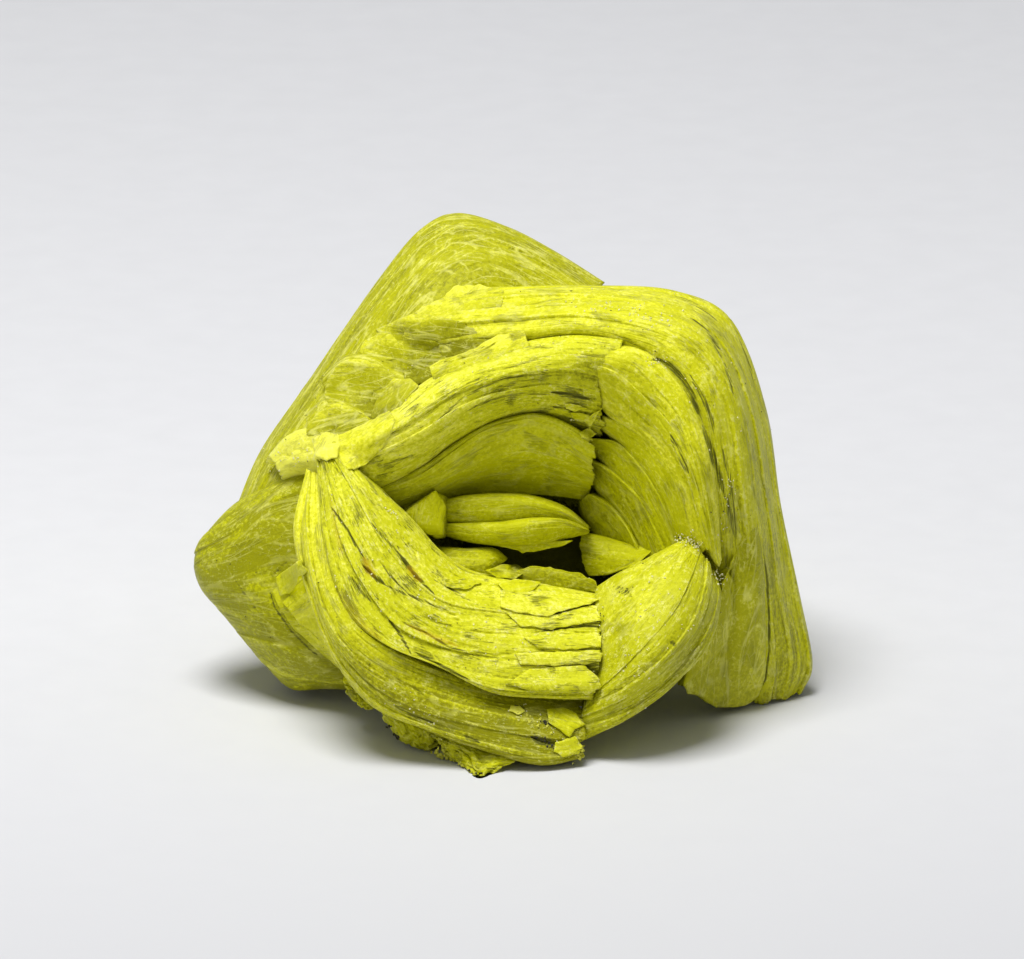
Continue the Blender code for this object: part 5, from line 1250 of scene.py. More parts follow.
sheaf(
    "lower_bundle", LOWER_BUNDLE, edges, 121, (300, 230), (
        (9, 0.06, 0.8, (4, 4)), (34, 0.025, 1.0, (10, 7)), (110, 0.012, 1.1, (24, 20)),
    ), torn=(0.2, 0.3), faults=0.1,
    slits=(
        (((-12.7, -1.8), (-12.1, -2.6), (-11.4, -3.6), (-10.6, -4.9), (-10.1, -5.7)), 0.12, 0.35),
        (((-10.4, -5.9), (-10.1, -6.2), (-9.6, -6.7), (-9.1, -7.1), (-8.7, -7.4)), 0.18, 0.6),
        (((-8.4, -4.4), (-7.8, -5.2), (-7.2, -6.0), (-6.6, -6.8), (-6.0, -7.4), (-5.3, -8.1)), 0.14, 0.55),
        (((-11.3, -6.7), (-11.0, -7.1), (-10.5, -7.8), (-10.1, -8.2), (-9.7, -8.6)), 0.12, 0.2),
        (((-13.2, -4.9), (-13.0, -5.6), (-12.7, -6.6), (-12.3, -7.6), (-12.0, -8.3)), 0.1, 0.15),
        (((-9.1, -7.2), (-8.0, -7.7), (-6.8, -8.2), (-5.6, -8.7), (-4.9, -9.0), (-3.8, -9.5)), 0.13, 0.2),
        (((-5.6, -6.9), (-5.0, -7.2), (-4.2, -7.7), (-3.4, -8.2), (-2.8, -8.5)), 0.13, 0.2),
        (((-9.9, -2.9), (-9.4, -3.5), (-8.6, -4.4), (-8.0, -5.2), (-7.5, -5.8)), 0.1, 0.15),
        (((-9.4, -5.3), (-9.0, -5.9), (-8.3, -6.9), (-7.6, -7.6), (-7.1, -8.1)), 0.12, 0.15),
        (((-8.8, -9.3), (-8.4, -9.9), (-7.9, -10.6), (-7.3, -11.6), (-6.9, -12.2)), 0.12, 0.3),
        (((-7.7, -9.9), (-6.0, -10.6), (-4.4, -11.6), (-2.9, -12.0)), 0.1, 0.2),
        (((-6.9, -11.9), (-5.6, -12.5), (-4.2, -13.3), (-2.9, -13.9)), 0.15, 0.3),
        (((1.1, -9.7), (2.4, -9.4), (3.6, -9.1), (5.0, -8.8), (6.0, -8.6), (7.3, -8.3)), 0.12, 0.4),
        (((1.3, -10.7), (2.6, -10.5), (3.8, -10.3), (5.2, -10.2), (6.4, -10.3), (7.7, -10.4)), 0.13, 0.3),
        (((2.6, -12.0), (3.6, -11.9), (5.0, -11.8), (6.4, -11.8), (7.4, -11.8)), 0.08, 0.2),
        (((4.9, -12.9), (5.7, -13.2), (6.6, -13.8)), 0.5, 1.2),
    ),
    stains=(
        (((-10.3, -5.4), (-9.8, -6.4), (-9.4, -6.9)), 0.28, 1.0),
        (((-7.3, -5.9), (-6.8, -6.6), (-6.2, -7.2)), 0.25, 0.9),
        (((-7.4, -10.0), (-5.4, -10.9), (-3.4, -11.7)), 0.2, 0.8),
        (((-12.9, -6.8), (-12.0, -8.6), (-10.6, -10.1), (-8.9, -11.2)), 0.55, 0.55),
        (((-12.6, -1.2), (-12.3, -3.2), (-11.8, -5.4)), 0.3, 0.5),
    ),
    tone_offset_and_painted_light=(-0.05, 0.0),
)
LOWER_APRON = (
    (
        (
            (-13.4, 0.6, -8.0), (-13.2, -3.0, -5.0), (-12.5, -7.0, -2.7),
            (-10.9, -10.0, -1.3), (-8.2, -12.0, -1.1), (-4.8, -13.4, -2.4),
            (-1.1, -14.5, -3.7), (2.3, -14.9, -5.1), (5.2, -15.0, -6.2),
        ),
        (
            (-14.0, 0.7, -7.7), (-14.1, -3.6, -5.1), (-13.3, -8.0, -2.9),
            (-11.7, -11.2, -1.5), (-8.9, -13.5, -1.2), (-5.3, -15.0, -1.6),
            (-1.4, -16.0, -2.1), (2.0, -16.5, -2.9), (5.2, -16.7, -3.7),
        ),
        (
            (-14.0, 0.6, -8.1), (-14.7, -4.2, -6.2), (-13.7, -8.7, -4.1),
            (-12.1, -12.2, -2.6), (-9.4, -15.1, -1.9), (-5.7, -16.8, -1.7),
            (-1.9, -18.0, -1.6), (1.8, -18.7, -2.0), (5.1, -18.5, -2.9),
        ),
        (
            (-14.3, 0.8, -9.0), (-15.2, -3.8, -7.6), (-13.8, -9.0, -5.6),
            (-12.4, -12.5, -4.2), (-9.8, -15.7, -3.4), (-6.0, -17.4, -2.9),
            (-2.3, -18.8, -2.5), (1.9, -19.9, -2.4), (5.0, -19.4, -3.4),
        ),
        (
            (-13.8, 0.5, -10.5), (-14.3, -3.9, -10.0), (-12.8, -8.7, -8.5),
            (-11.6, -12.0, -7.4), (-9.0, -15.0, -7.0), (-5.6, -16.8, -6.6),
            (-2.2, -18.2, -6.2), (1.4, -19.0, -6.0), (4.2, -18.6, -6.6),
        ),
    ),
    (-4.0, -9.0, -20.0),
    ((0.28, 0.25), (0.42, 0.0), (0.56, 0.2), (0.7, 0.0)),
)
sheaf(
    "lower_apron", LOWER_APRON, worn, 131, (190, 190), (
        (6, 0.04, 0.6, (4, 4)), (26, 0.018, 0.9, (8, 7)), (80, 0.01, 1.0, (20, 20)),
    ), torn=(0.2, 0.4), faults=0.05, tone_offset_and_painted_light=(0.35, -1.1),
    slits=(
        (((0.0, -15.9), (1.0, -16.0)), 0.3, 0.3),
        (((1.9, -16.8), (2.9, -17.0)), 0.2, 0.25),
        (((1.2, -17.8), (2.2, -18.2), (3.4, -18.5)), 0.34, 0.4),
        (((-7.1, -14.3), (-6.0, -15.1)), 0.18, 0.15),
        (((-8.4, -15.6), (-7.0, -16.4), (-5.4, -17.0)), 0.2, 0.15),
        (((-3.4, -17.8), (-2.2, -18.3)), 0.2, 0.15),
    ),
)

# --------------------------------------------------------------------------------------------------
# The corner book, rounded and frosted, and the front lobe behind it: books of autunite plates.
# The corner book turns its flat face outward and its stepped edges down; the lobe fills the right foot.
CORNER_BOOK = (
    (
        (
            (6.4, -7.4, -10.0), (7.6, -6.6, -10.0), (8.9, -5.9, -10.0),
            (10.2, -5.2, -10.2), (11.5, -4.5, -10.4), (12.4, -4.1, -10.6),
        ),
        (
            (5.8, -7.8, -8.2), (7.3, -6.8, -6.9), (8.6, -6.1, -6.8),
            (9.9, -5.4, -7.0), (11.3, -4.6, -7.6), (12.3, -4.1, -8.6),
        ),
        (
            (5.7, -10.7, -5.7), (7.5, -9.3, -4.1), (8.9, -8.0, -4.1),
            (10.2, -6.8, -4.8), (11.6, -5.5, -6.0), (12.7, -4.4, -8.0),
        ),
        (
            (5.6, -14.5, -4.2), (8.0, -12.6, -2.1), (9.8, -10.6, -2.1),
            (11.2, -8.6, -3.1), (12.3, -6.7, -4.8), (13.1, -4.8, -7.6),
        ),
        (
            (5.0, -15.9, -4.0), (8.2, -14.2, -1.7), (10.8, -12.0, -1.9),
            (12.5, -9.6, -3.2), (13.3, -7.3, -5.0), (13.5, -5.3, -7.6),
        ),
        (
            (4.6, -17.1, -3.9), (8.2, -15.5, -2.4), (11.2, -13.2, -2.9),
            (13.3, -10.6, -4.2), (14.1, -8.0, -6.0), (13.9, -6.1, -8.0),
        ),
        (
            (4.6, -18.4, -4.4), (7.9, -16.75, -3.5), (11.3, -14.35, -4.2),
            (13.8, -11.5, -5.7), (14.6, -8.3, -7.9), (14.1, -6.4, -9.2),
        ),
        (
            (4.7, -17.7, -7.0), (7.4, -15.8, -7.5), (10.4, -13.6, -8.5),
            (12.8, -11.0, -9.6), (13.8, -8.2, -10.6), (13.6, -6.4, -11.0),
        ),
    ),
    (6.0, -8.0, -21.0),
    ((0.3, 0.2), (0.45, 0.0), (0.58, 0.25), (0.66, 0.0), (0.76, 0.2), (0.84, 0.0)),
)
sheaf(
    "corner_book", CORNER_BOOK, frosted, 141, (240, 140), (
        (7, 0.045, 0.6, (4, 4)), (26, 0.016, 0.9, (8, 7)), (90, 0.01, 1.0, (22, 16)),
    ), torn=(0.12, 0.12), faults=0.05,
    slits=(
        (((7.0, -7.4), (8.0, -7.9), (8.4, -8.2)), 0.3, 0.1),
        (((11.0, -11.2), (11.4, -11.6)), 0.2, 0.25),
        (((5.6, -17.0), (8.6, -15.6), (11.2, -13.7), (13.3, -11.2), (14.2, -8.8)), 0.06, 0.05),
    ),
)
FRONT_LOBE = (
    (
        ((12.6, -4.4, -12.4), (12.4, -9.0, -13.0), (12.0, -12.4, -14.2), (11.7, -14.5, -15.4)),
        ((13.4, -4.6, -11.3), (13.2, -9.0, -12.0), (12.8, -12.4, -13.2), (12.3, -14.7, -14.6)),
        ((14.6, -4.2, -9.9), (14.6, -9.0, -10.9), (14.2, -12.8, -12.4), (13.9, -15.8, -14.8)),
        ((16.0, -4.0, -10.0), (16.2, -9.0, -11.0), (16.0, -13.0, -12.6), (15.6, -15.95, -15.6)),
        ((17.2, -4.4, -11.0), (17.6, -9.0, -11.9), (17.6, -13.0, -13.4), (16.8, -15.6, -15.6)),
        ((17.4, -4.8, -13.4), (17.9, -9.0, -14.0), (17.9, -13.0, -15.2), (17.0, -15.2, -16.6)),
    ),
    (10.0, -4.0, -23.0),
    ((0.3, 0.1), (0.62, 0.0)),
)
sheaf(
    "front_lobe", FRONT_LOBE, faces, 151, (130, 100),
    ((4, 0.05, 0.4, (3, 3)), (14, 0.02, 0.8, (6, 6))),
    sink=(1.8, 0.0), tone_offset_and_painted_light=0.1,
)

# --------------------------------------------------------------------------------------------------
# The pale chip on the knot, where the sheaves meet, and the crumpled plates under the base.
# The chip is autunite broken fresh; the base plates are bent and split by the weight on them.
KNOT_CHIP = (
    (
        (
            (-17.4, 1.2, -15.6), (-15.8, 2.6, -14.6), (-14.0, 3.5, -13.0),
            (-12.2, 3.4, -11.6), (-10.6, 2.9, -10.6),
        ),
        (
            (-17.2, 1.6, -14.0), (-15.8, 3.1, -12.6), (-14.0, 3.6, -11.2),
            (-12.2, 2.9, -9.6), (-11.2, 2.0, -8.8),
        ),
        (
            (-16.8, 0.9, -13.4), (-15.4, 1.8, -11.8), (-13.8, 2.2, -10.4),
            (-12.4, 1.9, -8.9), (-11.4, 1.4, -8.2),
        ),
        (
            (-16.4, 0.2, -13.4), (-15.2, 0.7, -12.0), (-13.8, 1.0, -10.6),
            (-12.5, 1.0, -9.2), (-11.6, 0.8, -8.6),
        ),
        (
            (-15.6, -0.4, -15.0), (-14.4, 0.0, -13.8), (-13.2, 0.2, -12.6),
            (-12.0, 0.2, -11.2), (-11.2, 0.2, -10.6),
        ),
    ),
    (-7.0, 0.0, -21.0),
    ((0.5, 0.05),),
)
# A fresh chip: bruised all through when it broke, so it is nearly white and soft to look at.
pale = autunite(
    "autunite_pale_chip", "#DCDA3C", "#F8F65C", "#FFFEA4", fibre=0.25, streak=0.3, chalk=0.5, dust=0.15,
)
sheaf(
    "knot_chip", KNOT_CHIP, pale, 161, (90, 100),
    ((4, 0.12, 0.6, (3, 4)), (14, 0.05, 1.2, (6, 8))),
    torn=(0.3, 0.3),
)
BASE_PLATES = (
    (
        (
            ((-9.0, -14.6, -7.5), (-7.8, -15.2, -6.8), (-6.4, -15.8, -6.4), (-5.2, -16.4, -6.4)),
            ((-9.4, -15.6, -7.0), (-8.2, -16.6, -5.6), (-6.6, -17.4, -5.0), (-5.0, -17.8, -5.2)),
            ((-9.0, -16.8, -8.0), (-8.0, -18.1, -6.8), (-6.2, -18.9, -6.2), (-5.0, -18.6, -6.4)),
            ((-8.0, -16.2, -10.0), (-7.2, -17.0, -9.4), (-6.0, -17.6, -9.0), (-5.0, -17.8, -8.8)),
        ),
        (-4.0, -10.0, -19.0),
        ((0.5, 0.1),),
    ),
    (
        (
            ((-5.8, -17.2, -5.0), (-4.2, -17.6, -4.2), (-2.2, -18.0, -3.6), (0.4, -18.6, -3.4)),
            ((-5.4, -18.2, -4.4), (-4.0, -18.6, -3.2), (-2.0, -19.2, -2.2), (0.9, -19.4, -2.4)),
            ((-4.8, -19.4, -5.0), (-3.6, -19.8, -3.0), (-2.4, -20.4, -1.4), (-0.6, -20.2, -2.0)),
            ((-4.4, -19.2, -6.6), (-3.2, -20.0, -3.2), (-2.3, -20.95, -1.2), (-0.9, -20.4, -2.6)),
            ((-4.0, -18.2, -8.0), (-3.0, -18.8, -6.6), (-1.8, -19.4, -5.6), (-0.2, -19.2, -6.0)),
        ),
        (-2.0, -10.0, -19.0),
        ((0.5, 0.1),),
    ),
    (
        (
            ((-12.0, -14.0, -9.5), (-11.0, -14.4, -9.0), (-10.0, -14.8, -8.6), (-9.2, -15.2, -8.4)),
            ((-11.8, -14.9, -9.8), (-10.9, -15.7, -8.8), (-10.2, -16.1, -8.4), (-9.4, -16.0, -8.2)),
            ((-11.2, -14.6, -11.6), (-10.6, -15.2, -11.0), (-10.0, -15.4, -10.6), (-9.2, -15.4, -10.2)),
        ),
        (-7.0, -9.0, -19.0),
        ((0.5, 0.05),),
    ),
)
for number, given in enumerate(BASE_PLATES):
    sheaf(
        f"base_plate_{number}", given, faces, 170 + number, (110, 90),
        ((4, 0.3, 0.9, (4, 5)), (14, 0.12, 1.4, (7, 9)), (40, 0.03, 1.2, (12, 14))),
        torn=(0.4, 0.4), faults=0.22,
    )

# --------------------------------------------------------------------------------------------------
# Torn plates: loose-edged autunite plates that lap over the sheaves, left where others broke away.
# Each is a flake a few plates thick, mostly 0.15 to 0.3 mm, grown on at its back, with snapped edges.
FACE_STEP = 0.2  # mm, the cells of the height map of everything laid so far
FACE_REACH = 26.0  # mm, how far the map reaches each way from the middle of the face
FLAKE_STEP = 0.12  # mm between the points of its rim
FLAKE_MAP_STEP = 5.1  # mm between the maps of two flakes
FLAKE_TRUSTED = 0.7  # share of what is under it that its plane is fitted to
FLAKE_JAG = 0.05  # mm, how far its rim wanders
FLAKE_BEND = 0.5  # mm, how far a flake bends up out of its plane
FLAKE_DIP = 0.3  # mm, how far a tilted flake's root lies below the surface
# share of the way out from the middle, height as a share of the thickness, and how fresh the edge is
FLAKE_RINGS = (
    (0.3, -1.6, 0.5), (0.97, -1.3, 0.5), (1.0, -0.6, 0.75), (1.0, -0.1, 0.95), (0.985, 0.12, 0.9),
    (0.955, 0.24, 0.7), (0.9, 0.34, 0.55), (0.78, 0.43, 0.5), (0.6, 0.48, 0.5), (0.4, 0.5, 0.5),
    (0.15, 0.5, 0.5),
)
cells = int(2 * FACE_REACH / FACE_STEP)
face_height = np.full((cells, cells), -30.0)
for surface in skin:
    spots = surface.reshape(-1, 3)
    at = np.clip(((spots[:, :2] + FACE_REACH) / FACE_STEP).astype(int), 0, cells - 1)
    np.maximum.at(face_height, (at[:, 0], at[:, 1]), spots[:, 2])
for _ in range(3):
    around = np.max([np.roll(face_height, shift, axis) for axis in (0, 1) for shift in (-1, 1)], axis=0)
    face_height = np.where(face_height < around - 1.5, around, face_height)
face_height = softened(face_height, (1, 1))


def height_at(places):
    """How far out of the leaning face the surface stands at places on it, in mm."""
    at = np.clip((places + FACE_REACH) / FACE_STEP - 0.5, 0, cells - 1.001)
    low = at.astype(int)
    part = at - low
    total = 0.0
    for i in (0, 1):
        for j in (0, 1):
            share = np.abs(1 - i - part[..., 0]) * np.abs(1 - j - part[..., 1])
            total = total + share * face_height[low[..., 0] + i, low[..., 1] + j]
    return total


def flake(
    name, outline, lift, thickness, material, seed, tone_offset_and_painted_light=0.0, grime_and_shade=0.0, flat=None, tip=None, tip_paleness_and_light=1.8,
):
    """A torn plate laid on the surface: its outline on the leaning face, its lift and its thickness, in mm.
    A flat one lies at that depth instead of following what is under it.
    One with a tip stands off at that end only and is painted lighter there, by the amount given, as painted
    light on its free rim."""
    draw = np.random.default_rng(seed)
    corners = np.array(outline, float)
    middle = corners.mean(0)
    rim = []
    for a, b in zip(corners, np.roll(corners, -1, 0)):
        steps = max(2, int(np.linalg.norm(b - a) / FLAKE_STEP))
        rim.append(a + (b - a) * np.linspace(0, 1, steps, endpoint=False)[:, None])
    rim = np.concatenate(rim)
    count = len(rim)
    swing = curve_weights(max(5, count // 3), np.linspace(0, 1, count)) @ draw.normal(
        0, 1, (max(5, count // 3), 2),
    )
    rim = rim + FLAKE_JAG * swing * np.sin(np.linspace(0, math.pi, count))[:, None] ** 0.5
    rim = np.concatenate([rim, rim[:1]])
    shares, heights, fresh = (np.array(values)[:, None] for values in zip(*FLAKE_RINGS))
    places = middle + (rim - middle)[None] * shares[:, :, None]
    rise = np.ones(places.shape[:2])
    if tip is not None:
        rise = (places - middle) @ np.array(tip)
        rise = (rise - rise.min()) / np.ptp(rise)
    base = height_at(places) if flat is None else np.full(places.shape[:2], flat)
    spots = np.concatenate([places, np.ones(places.shape[:2])[:, :, None]], 2).reshape(-1, 3)
    kept = np.ones(len(spots), bool)
    for _ in range(4):  # the plane that most of it lies on
        plane = spots @ np.linalg.lstsq(spots[kept], base.reshape(-1)[kept], rcond=None)[0]
        kept = np.abs(base.reshape(-1) - plane) <= np.quantile(
            np.abs(base.reshape(-1) - plane), FLAKE_TRUSTED,
        )
    base = plane.reshape(base.shape) + np.clip(
        base - plane.reshape(base.shape), -2 * FLAKE_BEND, FLAKE_BEND,
    )
    off = lift * rise - FLAKE_DIP * (1 - rise)
    off[:3] -= np.array((1.0, 1.0, 0.5))[:, None] * off[:3] if flat is None else 0.0
    grid = np.concatenate([places, (base + off + heights * thickness)[:, :, None]], 2)
    way = np.linalg.svd(corners - middle)[2]
    uv = (places - middle) @ way.T + seed * FLAKE_MAP_STEP
    fresh = 0.5 + (fresh - 0.5) * rise
    # painted light: lighter toward a tip's free rim, darker toward its root
    flake_tone_and_light = 0.5 + tone_offset_and_painted_light + 0.4 * (fresh - 0.5) + (0.0 if tip is None else tip_paleness_and_light * (rise - 0.65))
    held = {
        "relief_and_cavity_shade": fresh, "tone_and_painted_light": flake_tone_and_light, "dirt_and_painted_shade": np.full(places.shape[:2], grime_and_shade),
        "stain": np.zeros(places.shape[:2]),
    }
    return closed_piece(name, grid, middle, uv, held, material, wrap=True)


TORN = (
    # tongues at the right end of the bundle
    (
        (
            (-0.8, -7.7), (2.2, -7.8), (4.6, -8.1), (6.15, -8.4), (4.8, -8.85), (3.4, -9.25), (2.4, -9.6),
            (0.6, -9.3), (-0.8, -8.9),
        ),
        0.16, 0.26, edges, 0.2, 0.0,
    ),
    (
        (
            (-0.4, -9.3), (2.6, -9.7), (4.2, -9.1), (6.0, -9.0), (6.2, -9.9), (4.6, -10.1), (2.7, -10.45),
            (0.6, -10.2),
        ),
        0.1, 0.2, edges, 0.1, 0.0,
    ),
    (
        ((0.8, -11.0), (3.6, -10.8), (6.25, -10.9), (6.2, -11.7), (4.2, -11.8), (1.8, -11.7)),
        0.1, 0.2, edges, 0.15, 0.0,
    ),
    (
        (
            (0.2, -12.1), (3.4, -12.0), (6.25, -12.05), (6.15, -12.75), (5.1, -12.8), (3.0, -12.95),
            (0.6, -12.9),
        ),
        0.14, 0.24, edges, 0.25, 0.0,
    ),
    (
        (
            (1.2, -13.2), (4.6, -12.95), (5.1, -13.0), (6.1, -13.85), (6.1, -14.5), (5.3, -14.9),
            (2.2, -14.8), (-0.4, -14.3),
        ),
        0.1, 0.25, edges, -0.05, 0.0,
    ),
    # plates over the rim of the hollow
    (
        ((-1.0, -7.3), (0.2, -6.95), (2.05, -7.15), (1.4, -7.75), (0.9, -8.2), (-0.1, -8.25)),
        0.18, 0.16, faces, 0.35, 0.0,
    ),
    (
        ((-1.9, -6.35), (-0.9, -5.95), (0.2, -5.95), (1.1, -6.5), (0.3, -6.9), (-1.0, -6.9)),
        0.0, 0.14, faces, -0.2, 0.1,
    ),
    (((-4.8, -7.0), (-3.0, -6.9), (-2.2, -7.2), (-3.2, -7.7), (-4.6, -7.5)), 0.1, 0.14, edges, 0.1, 0.0),
    # the broken end of the apron
    (
        (
            (2.4, -16.0), (3.6, -15.9), (4.5, -16.3), (5.15, -17.15), (4.4, -17.45), (4.0, -17.85),
            (3.2, -17.35), (2.6, -16.9),
        ),
        0.14, 0.26, faces, 0.2, 0.0,
    ),
    (
        ((-0.1, -15.75), (0.6, -15.7), (1.0, -16.1), (0.4, -16.3), (-0.2, -16.15)),
        0.06, 0.16, pale, -0.3, 0.2,
    ),
    (
        ((3.0, -18.3), (4.4, -17.9), (4.9, -18.5), (4.7, -19.1), (3.6, -19.3), (2.9, -18.9)),
        0.06, 0.2, edges, 0.0, 0.1,
    ),
    # crumpled plates where the arch meets the bowl
    (((3.7, 5.3), (4.7, 5.25), (5.3, 4.9), (4.5, 4.75), (3.8, 4.95)), 0.12, 0.16, edges, 0.05, 0.0),
    (((4.1, 4.7), (5.0, 4.65), (5.5, 4.4), (4.9, 4.0), (4.3, 4.2)), 0.15, 0.18, faces, 0.3, 0.15),
    (((5.0, 4.15), (5.6, 4.5), (6.15, 4.95), (5.9, 4.25), (5.4, 3.65)), 0.2, 0.16, edges, 0.1, 0.0),
    (((4.7, 3.3), (5.4, 3.6), (5.95, 3.2), (5.5, 2.9), (4.9, 2.9)), 0.14, 0.18, edges, 0.1, 0.0),
    # the plate tucked in behind the left edge of the bundle
    (
        (
            (-16.6, -6.9), (-15.6, -6.1), (-14.7, -5.5), (-14.3, -6.4), (-15.0, -7.0), (-15.6, -8.0),
            (-16.4, -8.2),
        ),
        0.16, 0.22, faces, 0.0, 0.0,
    ),
)
for number, (outline, lift, thickness, material, tone_offset_and_painted_light, grime_and_shade) in enumerate(TORN):
    flake(
        f"torn_plate_{number}", outline, lift, thickness, material, 300 + number, tone_offset_and_painted_light=tone_offset_and_painted_light, grime_and_shade=grime_and_shade,
    )
# overlapping scales on the back sheaf, down to the arch
# each has its free rim upward and its root under the next, painted lighter at the rim and darker toward the
# root as light and shade; the ones painted lightest take the worn faces
SCALE_TIP = (-0.25, 0.97)
SCALE_THICKNESS = 0.16
SCALES = (
    (
        (
            (-9.6, 10.6), (-8.0, 11.3), (-6.9, 11.7), (-5.5, 11.5), (-3.7, 11.1), (-1.8, 10.3), (-0.9, 9.8),
            (-2.3, 8.9), (-3.7, 8.4), (-4.9, 8.6), (-7.4, 9.2), (-9.0, 9.7),
        ),
        0.22, -0.05,
    ),
    (
        (
            (-11.0, 8.8), (-10.4, 9.8), (-9.3, 10.4), (-8.0, 10.2), (-6.9, 9.9), (-5.3, 9.7), (-4.3, 9.2),
            (-4.8, 8.35), (-5.5, 7.3), (-6.2, 6.7), (-6.9, 6.7), (-8.0, 6.9), (-8.9, 7.6), (-9.8, 8.2),
            (-10.8, 8.3),
        ),
        0.2, 0.0,
    ),
    (
        (
            (-12.9, 7.3), (-12.3, 8.1), (-11.5, 8.5), (-10.7, 8.5), (-9.4, 8.1), (-8.4, 7.4), (-7.5, 6.8),
            (-8.5, 6.0), (-9.1, 5.2), (-9.4, 4.6), (-10.0, 4.0), (-10.9, 4.2), (-11.9, 4.8), (-12.9, 5.0),
            (-13.3, 6.0),
        ),
        0.22, 0.05,
    ),
    (
        (
            (-9.9, 4.5), (-9.5, 5.6), (-8.9, 6.6), (-8.2, 7.1), (-7.2, 7.1), (-6.5, 6.6), (-7.7, 5.3),
            (-8.8, 4.3), (-9.6, 3.9),
        ),
        0.25, 0.15,
    ),
    (
        (
            (-14.4, 3.9), (-13.3, 4.9), (-12.5, 5.4), (-11.4, 5.1), (-10.1, 4.2), (-10.9, 3.4),
            (-11.9, 2.7), (-12.65, 2.2), (-13.4, 2.5), (-14.5, 3.0),
        ),
        0.2, 0.05,
    ),
    (
        (
            (-5.8, 7.9), (-5.0, 8.4), (-3.6, 8.8), (-2.5, 9.3), (-1.9, 9.7), (-0.9, 10.1), (0.8, 10.4),
            (1.2, 9.4), (-0.9, 8.5), (-2.7, 7.7), (-4.4, 7.0), (-5.4, 6.7),
        ),
        0.14, 0.3,
    ),
    (
        (
            (-6.9, 11.2), (-6.6, 11.9), (-6.2, 12.4), (-5.3, 12.5), (-4.8, 12.7), (-4.6, 13.2),
            (-4.1, 13.6), (-2.4, 13.8), (-0.6, 13.4), (-0.8, 11.9), (-2.0, 10.9), (-4.6, 10.8),
            (-5.8, 10.7),
        ),
        0.16, 0.35,
    ),
)
for number, (outline, lift, tone_offset_and_painted_light) in enumerate(SCALES):
    flake(
        f"scale_{number}", outline, lift, SCALE_THICKNESS, worn if tone_offset_and_painted_light > 0.2 else crackled, 380 + number,
        tone_offset_and_painted_light=tone_offset_and_painted_light, tip=SCALE_TIP,
    )
# the front one of the two books that end in the right foot, standing half a millimetre proud of the other
flake("foot_book", (
    (17.3, -2.6), (17.65, -4.2), (17.75, -6.5), (17.8, -9.0), (17.85, -11.9), (17.8, -14.0), (17.4, -15.2),
    (16.8, -15.8), (16.0, -16.0), (14.9, -16.05), (14.2, -16.0), (13.2, -15.3), (12.3, -15.0), (12.0, -14.0),
    (12.9, -11.9), (13.9, -9.6), (14.6, -7.7), (15.4, -5.6), (16.2, -3.6),
), 0.3, 0.7, crackled, 344, tone_offset_and_painted_light=0.1, tip=(0.0, -1.0), tip_paleness_and_light=0.7)
# the smooth pale start of the arch, grown over the knot, and the wedge between it and the chip
flake(
    "knot_wedge",
    ((-14.0, 2.9), (-13.1, 3.3), (-12.2, 3.2), (-11.9, 2.4), (-12.3, 1.6), (-13.0, 1.3), (-13.8, 1.7)),
    0.05, 0.5, pale, 346, tone_offset_and_painted_light=-0.35,
)
flake("knot_plate", (
    (-12.7, 2.5), (-12.1, 3.2), (-11.2, 3.5), (-10.0, 4.1), (-8.6, 4.8), (-8.1, 4.1), (-8.5, 3.0),
    (-9.4, 1.7), (-10.4, 0.9), (-11.4, 0.7), (-12.3, 1.3),
), 0.0, 0.3, worn, 345, tone_offset_and_painted_light=0.35)
# inside the hollow: the bundle's inner wall, painted dark as shade, and the thin lowest plate of the lens
flake(
    "inner_wall",
    (
        (-0.6, -6.7), (1.2, -6.1), (3.0, -6.2), (4.6, -6.6), (5.9, -7.1), (6.2, -8.0), (4.0, -7.9),
        (1.4, -7.5),
    ),
    0.0, 1.2, faces, 341, tone_offset_and_painted_light=-0.7, grime_and_shade=0.6, flat=-9.8,
)
flake(
    "lens_chip",
    (
        (-7.6, -2.35), (-6.5, -1.5), (-5.4, -0.8), (-5.0, -1.15), (-4.6, -1.9), (-4.75, -2.9),
        (-4.85, -3.95), (-5.8, -3.9), (-6.7, -3.5),
    ),
    0.0, 1.3, faces, 343, tone_offset_and_painted_light=-0.1, flat=-9.15,
)
flake(
    "lens_sliver",
    ((-2.2, -4.35), (-0.4, -4.8), (0.8, -5.15), (2.6, -4.9), (4.3, -4.3), (2.4, -4.2), (0.0, -4.3)),
    0.0, 0.3, faces, 342, tone_offset_and_painted_light=0.1, flat=-10.4,
)

# --------------------------------------------------------------------------------------------------
# Crumbs: whitish scales, yellow crumbs and black grains caught on the ledges and the underside.
# They are bits of autunite plate bruised to powder, and grains of the dark rock the cluster was dug from.
# Each kind is one lump set on given points by Geometry Nodes, turned and sized from a fixed seed.
FACE_BACK = -22.0  # mm, deeper than anything that a crumb lies on


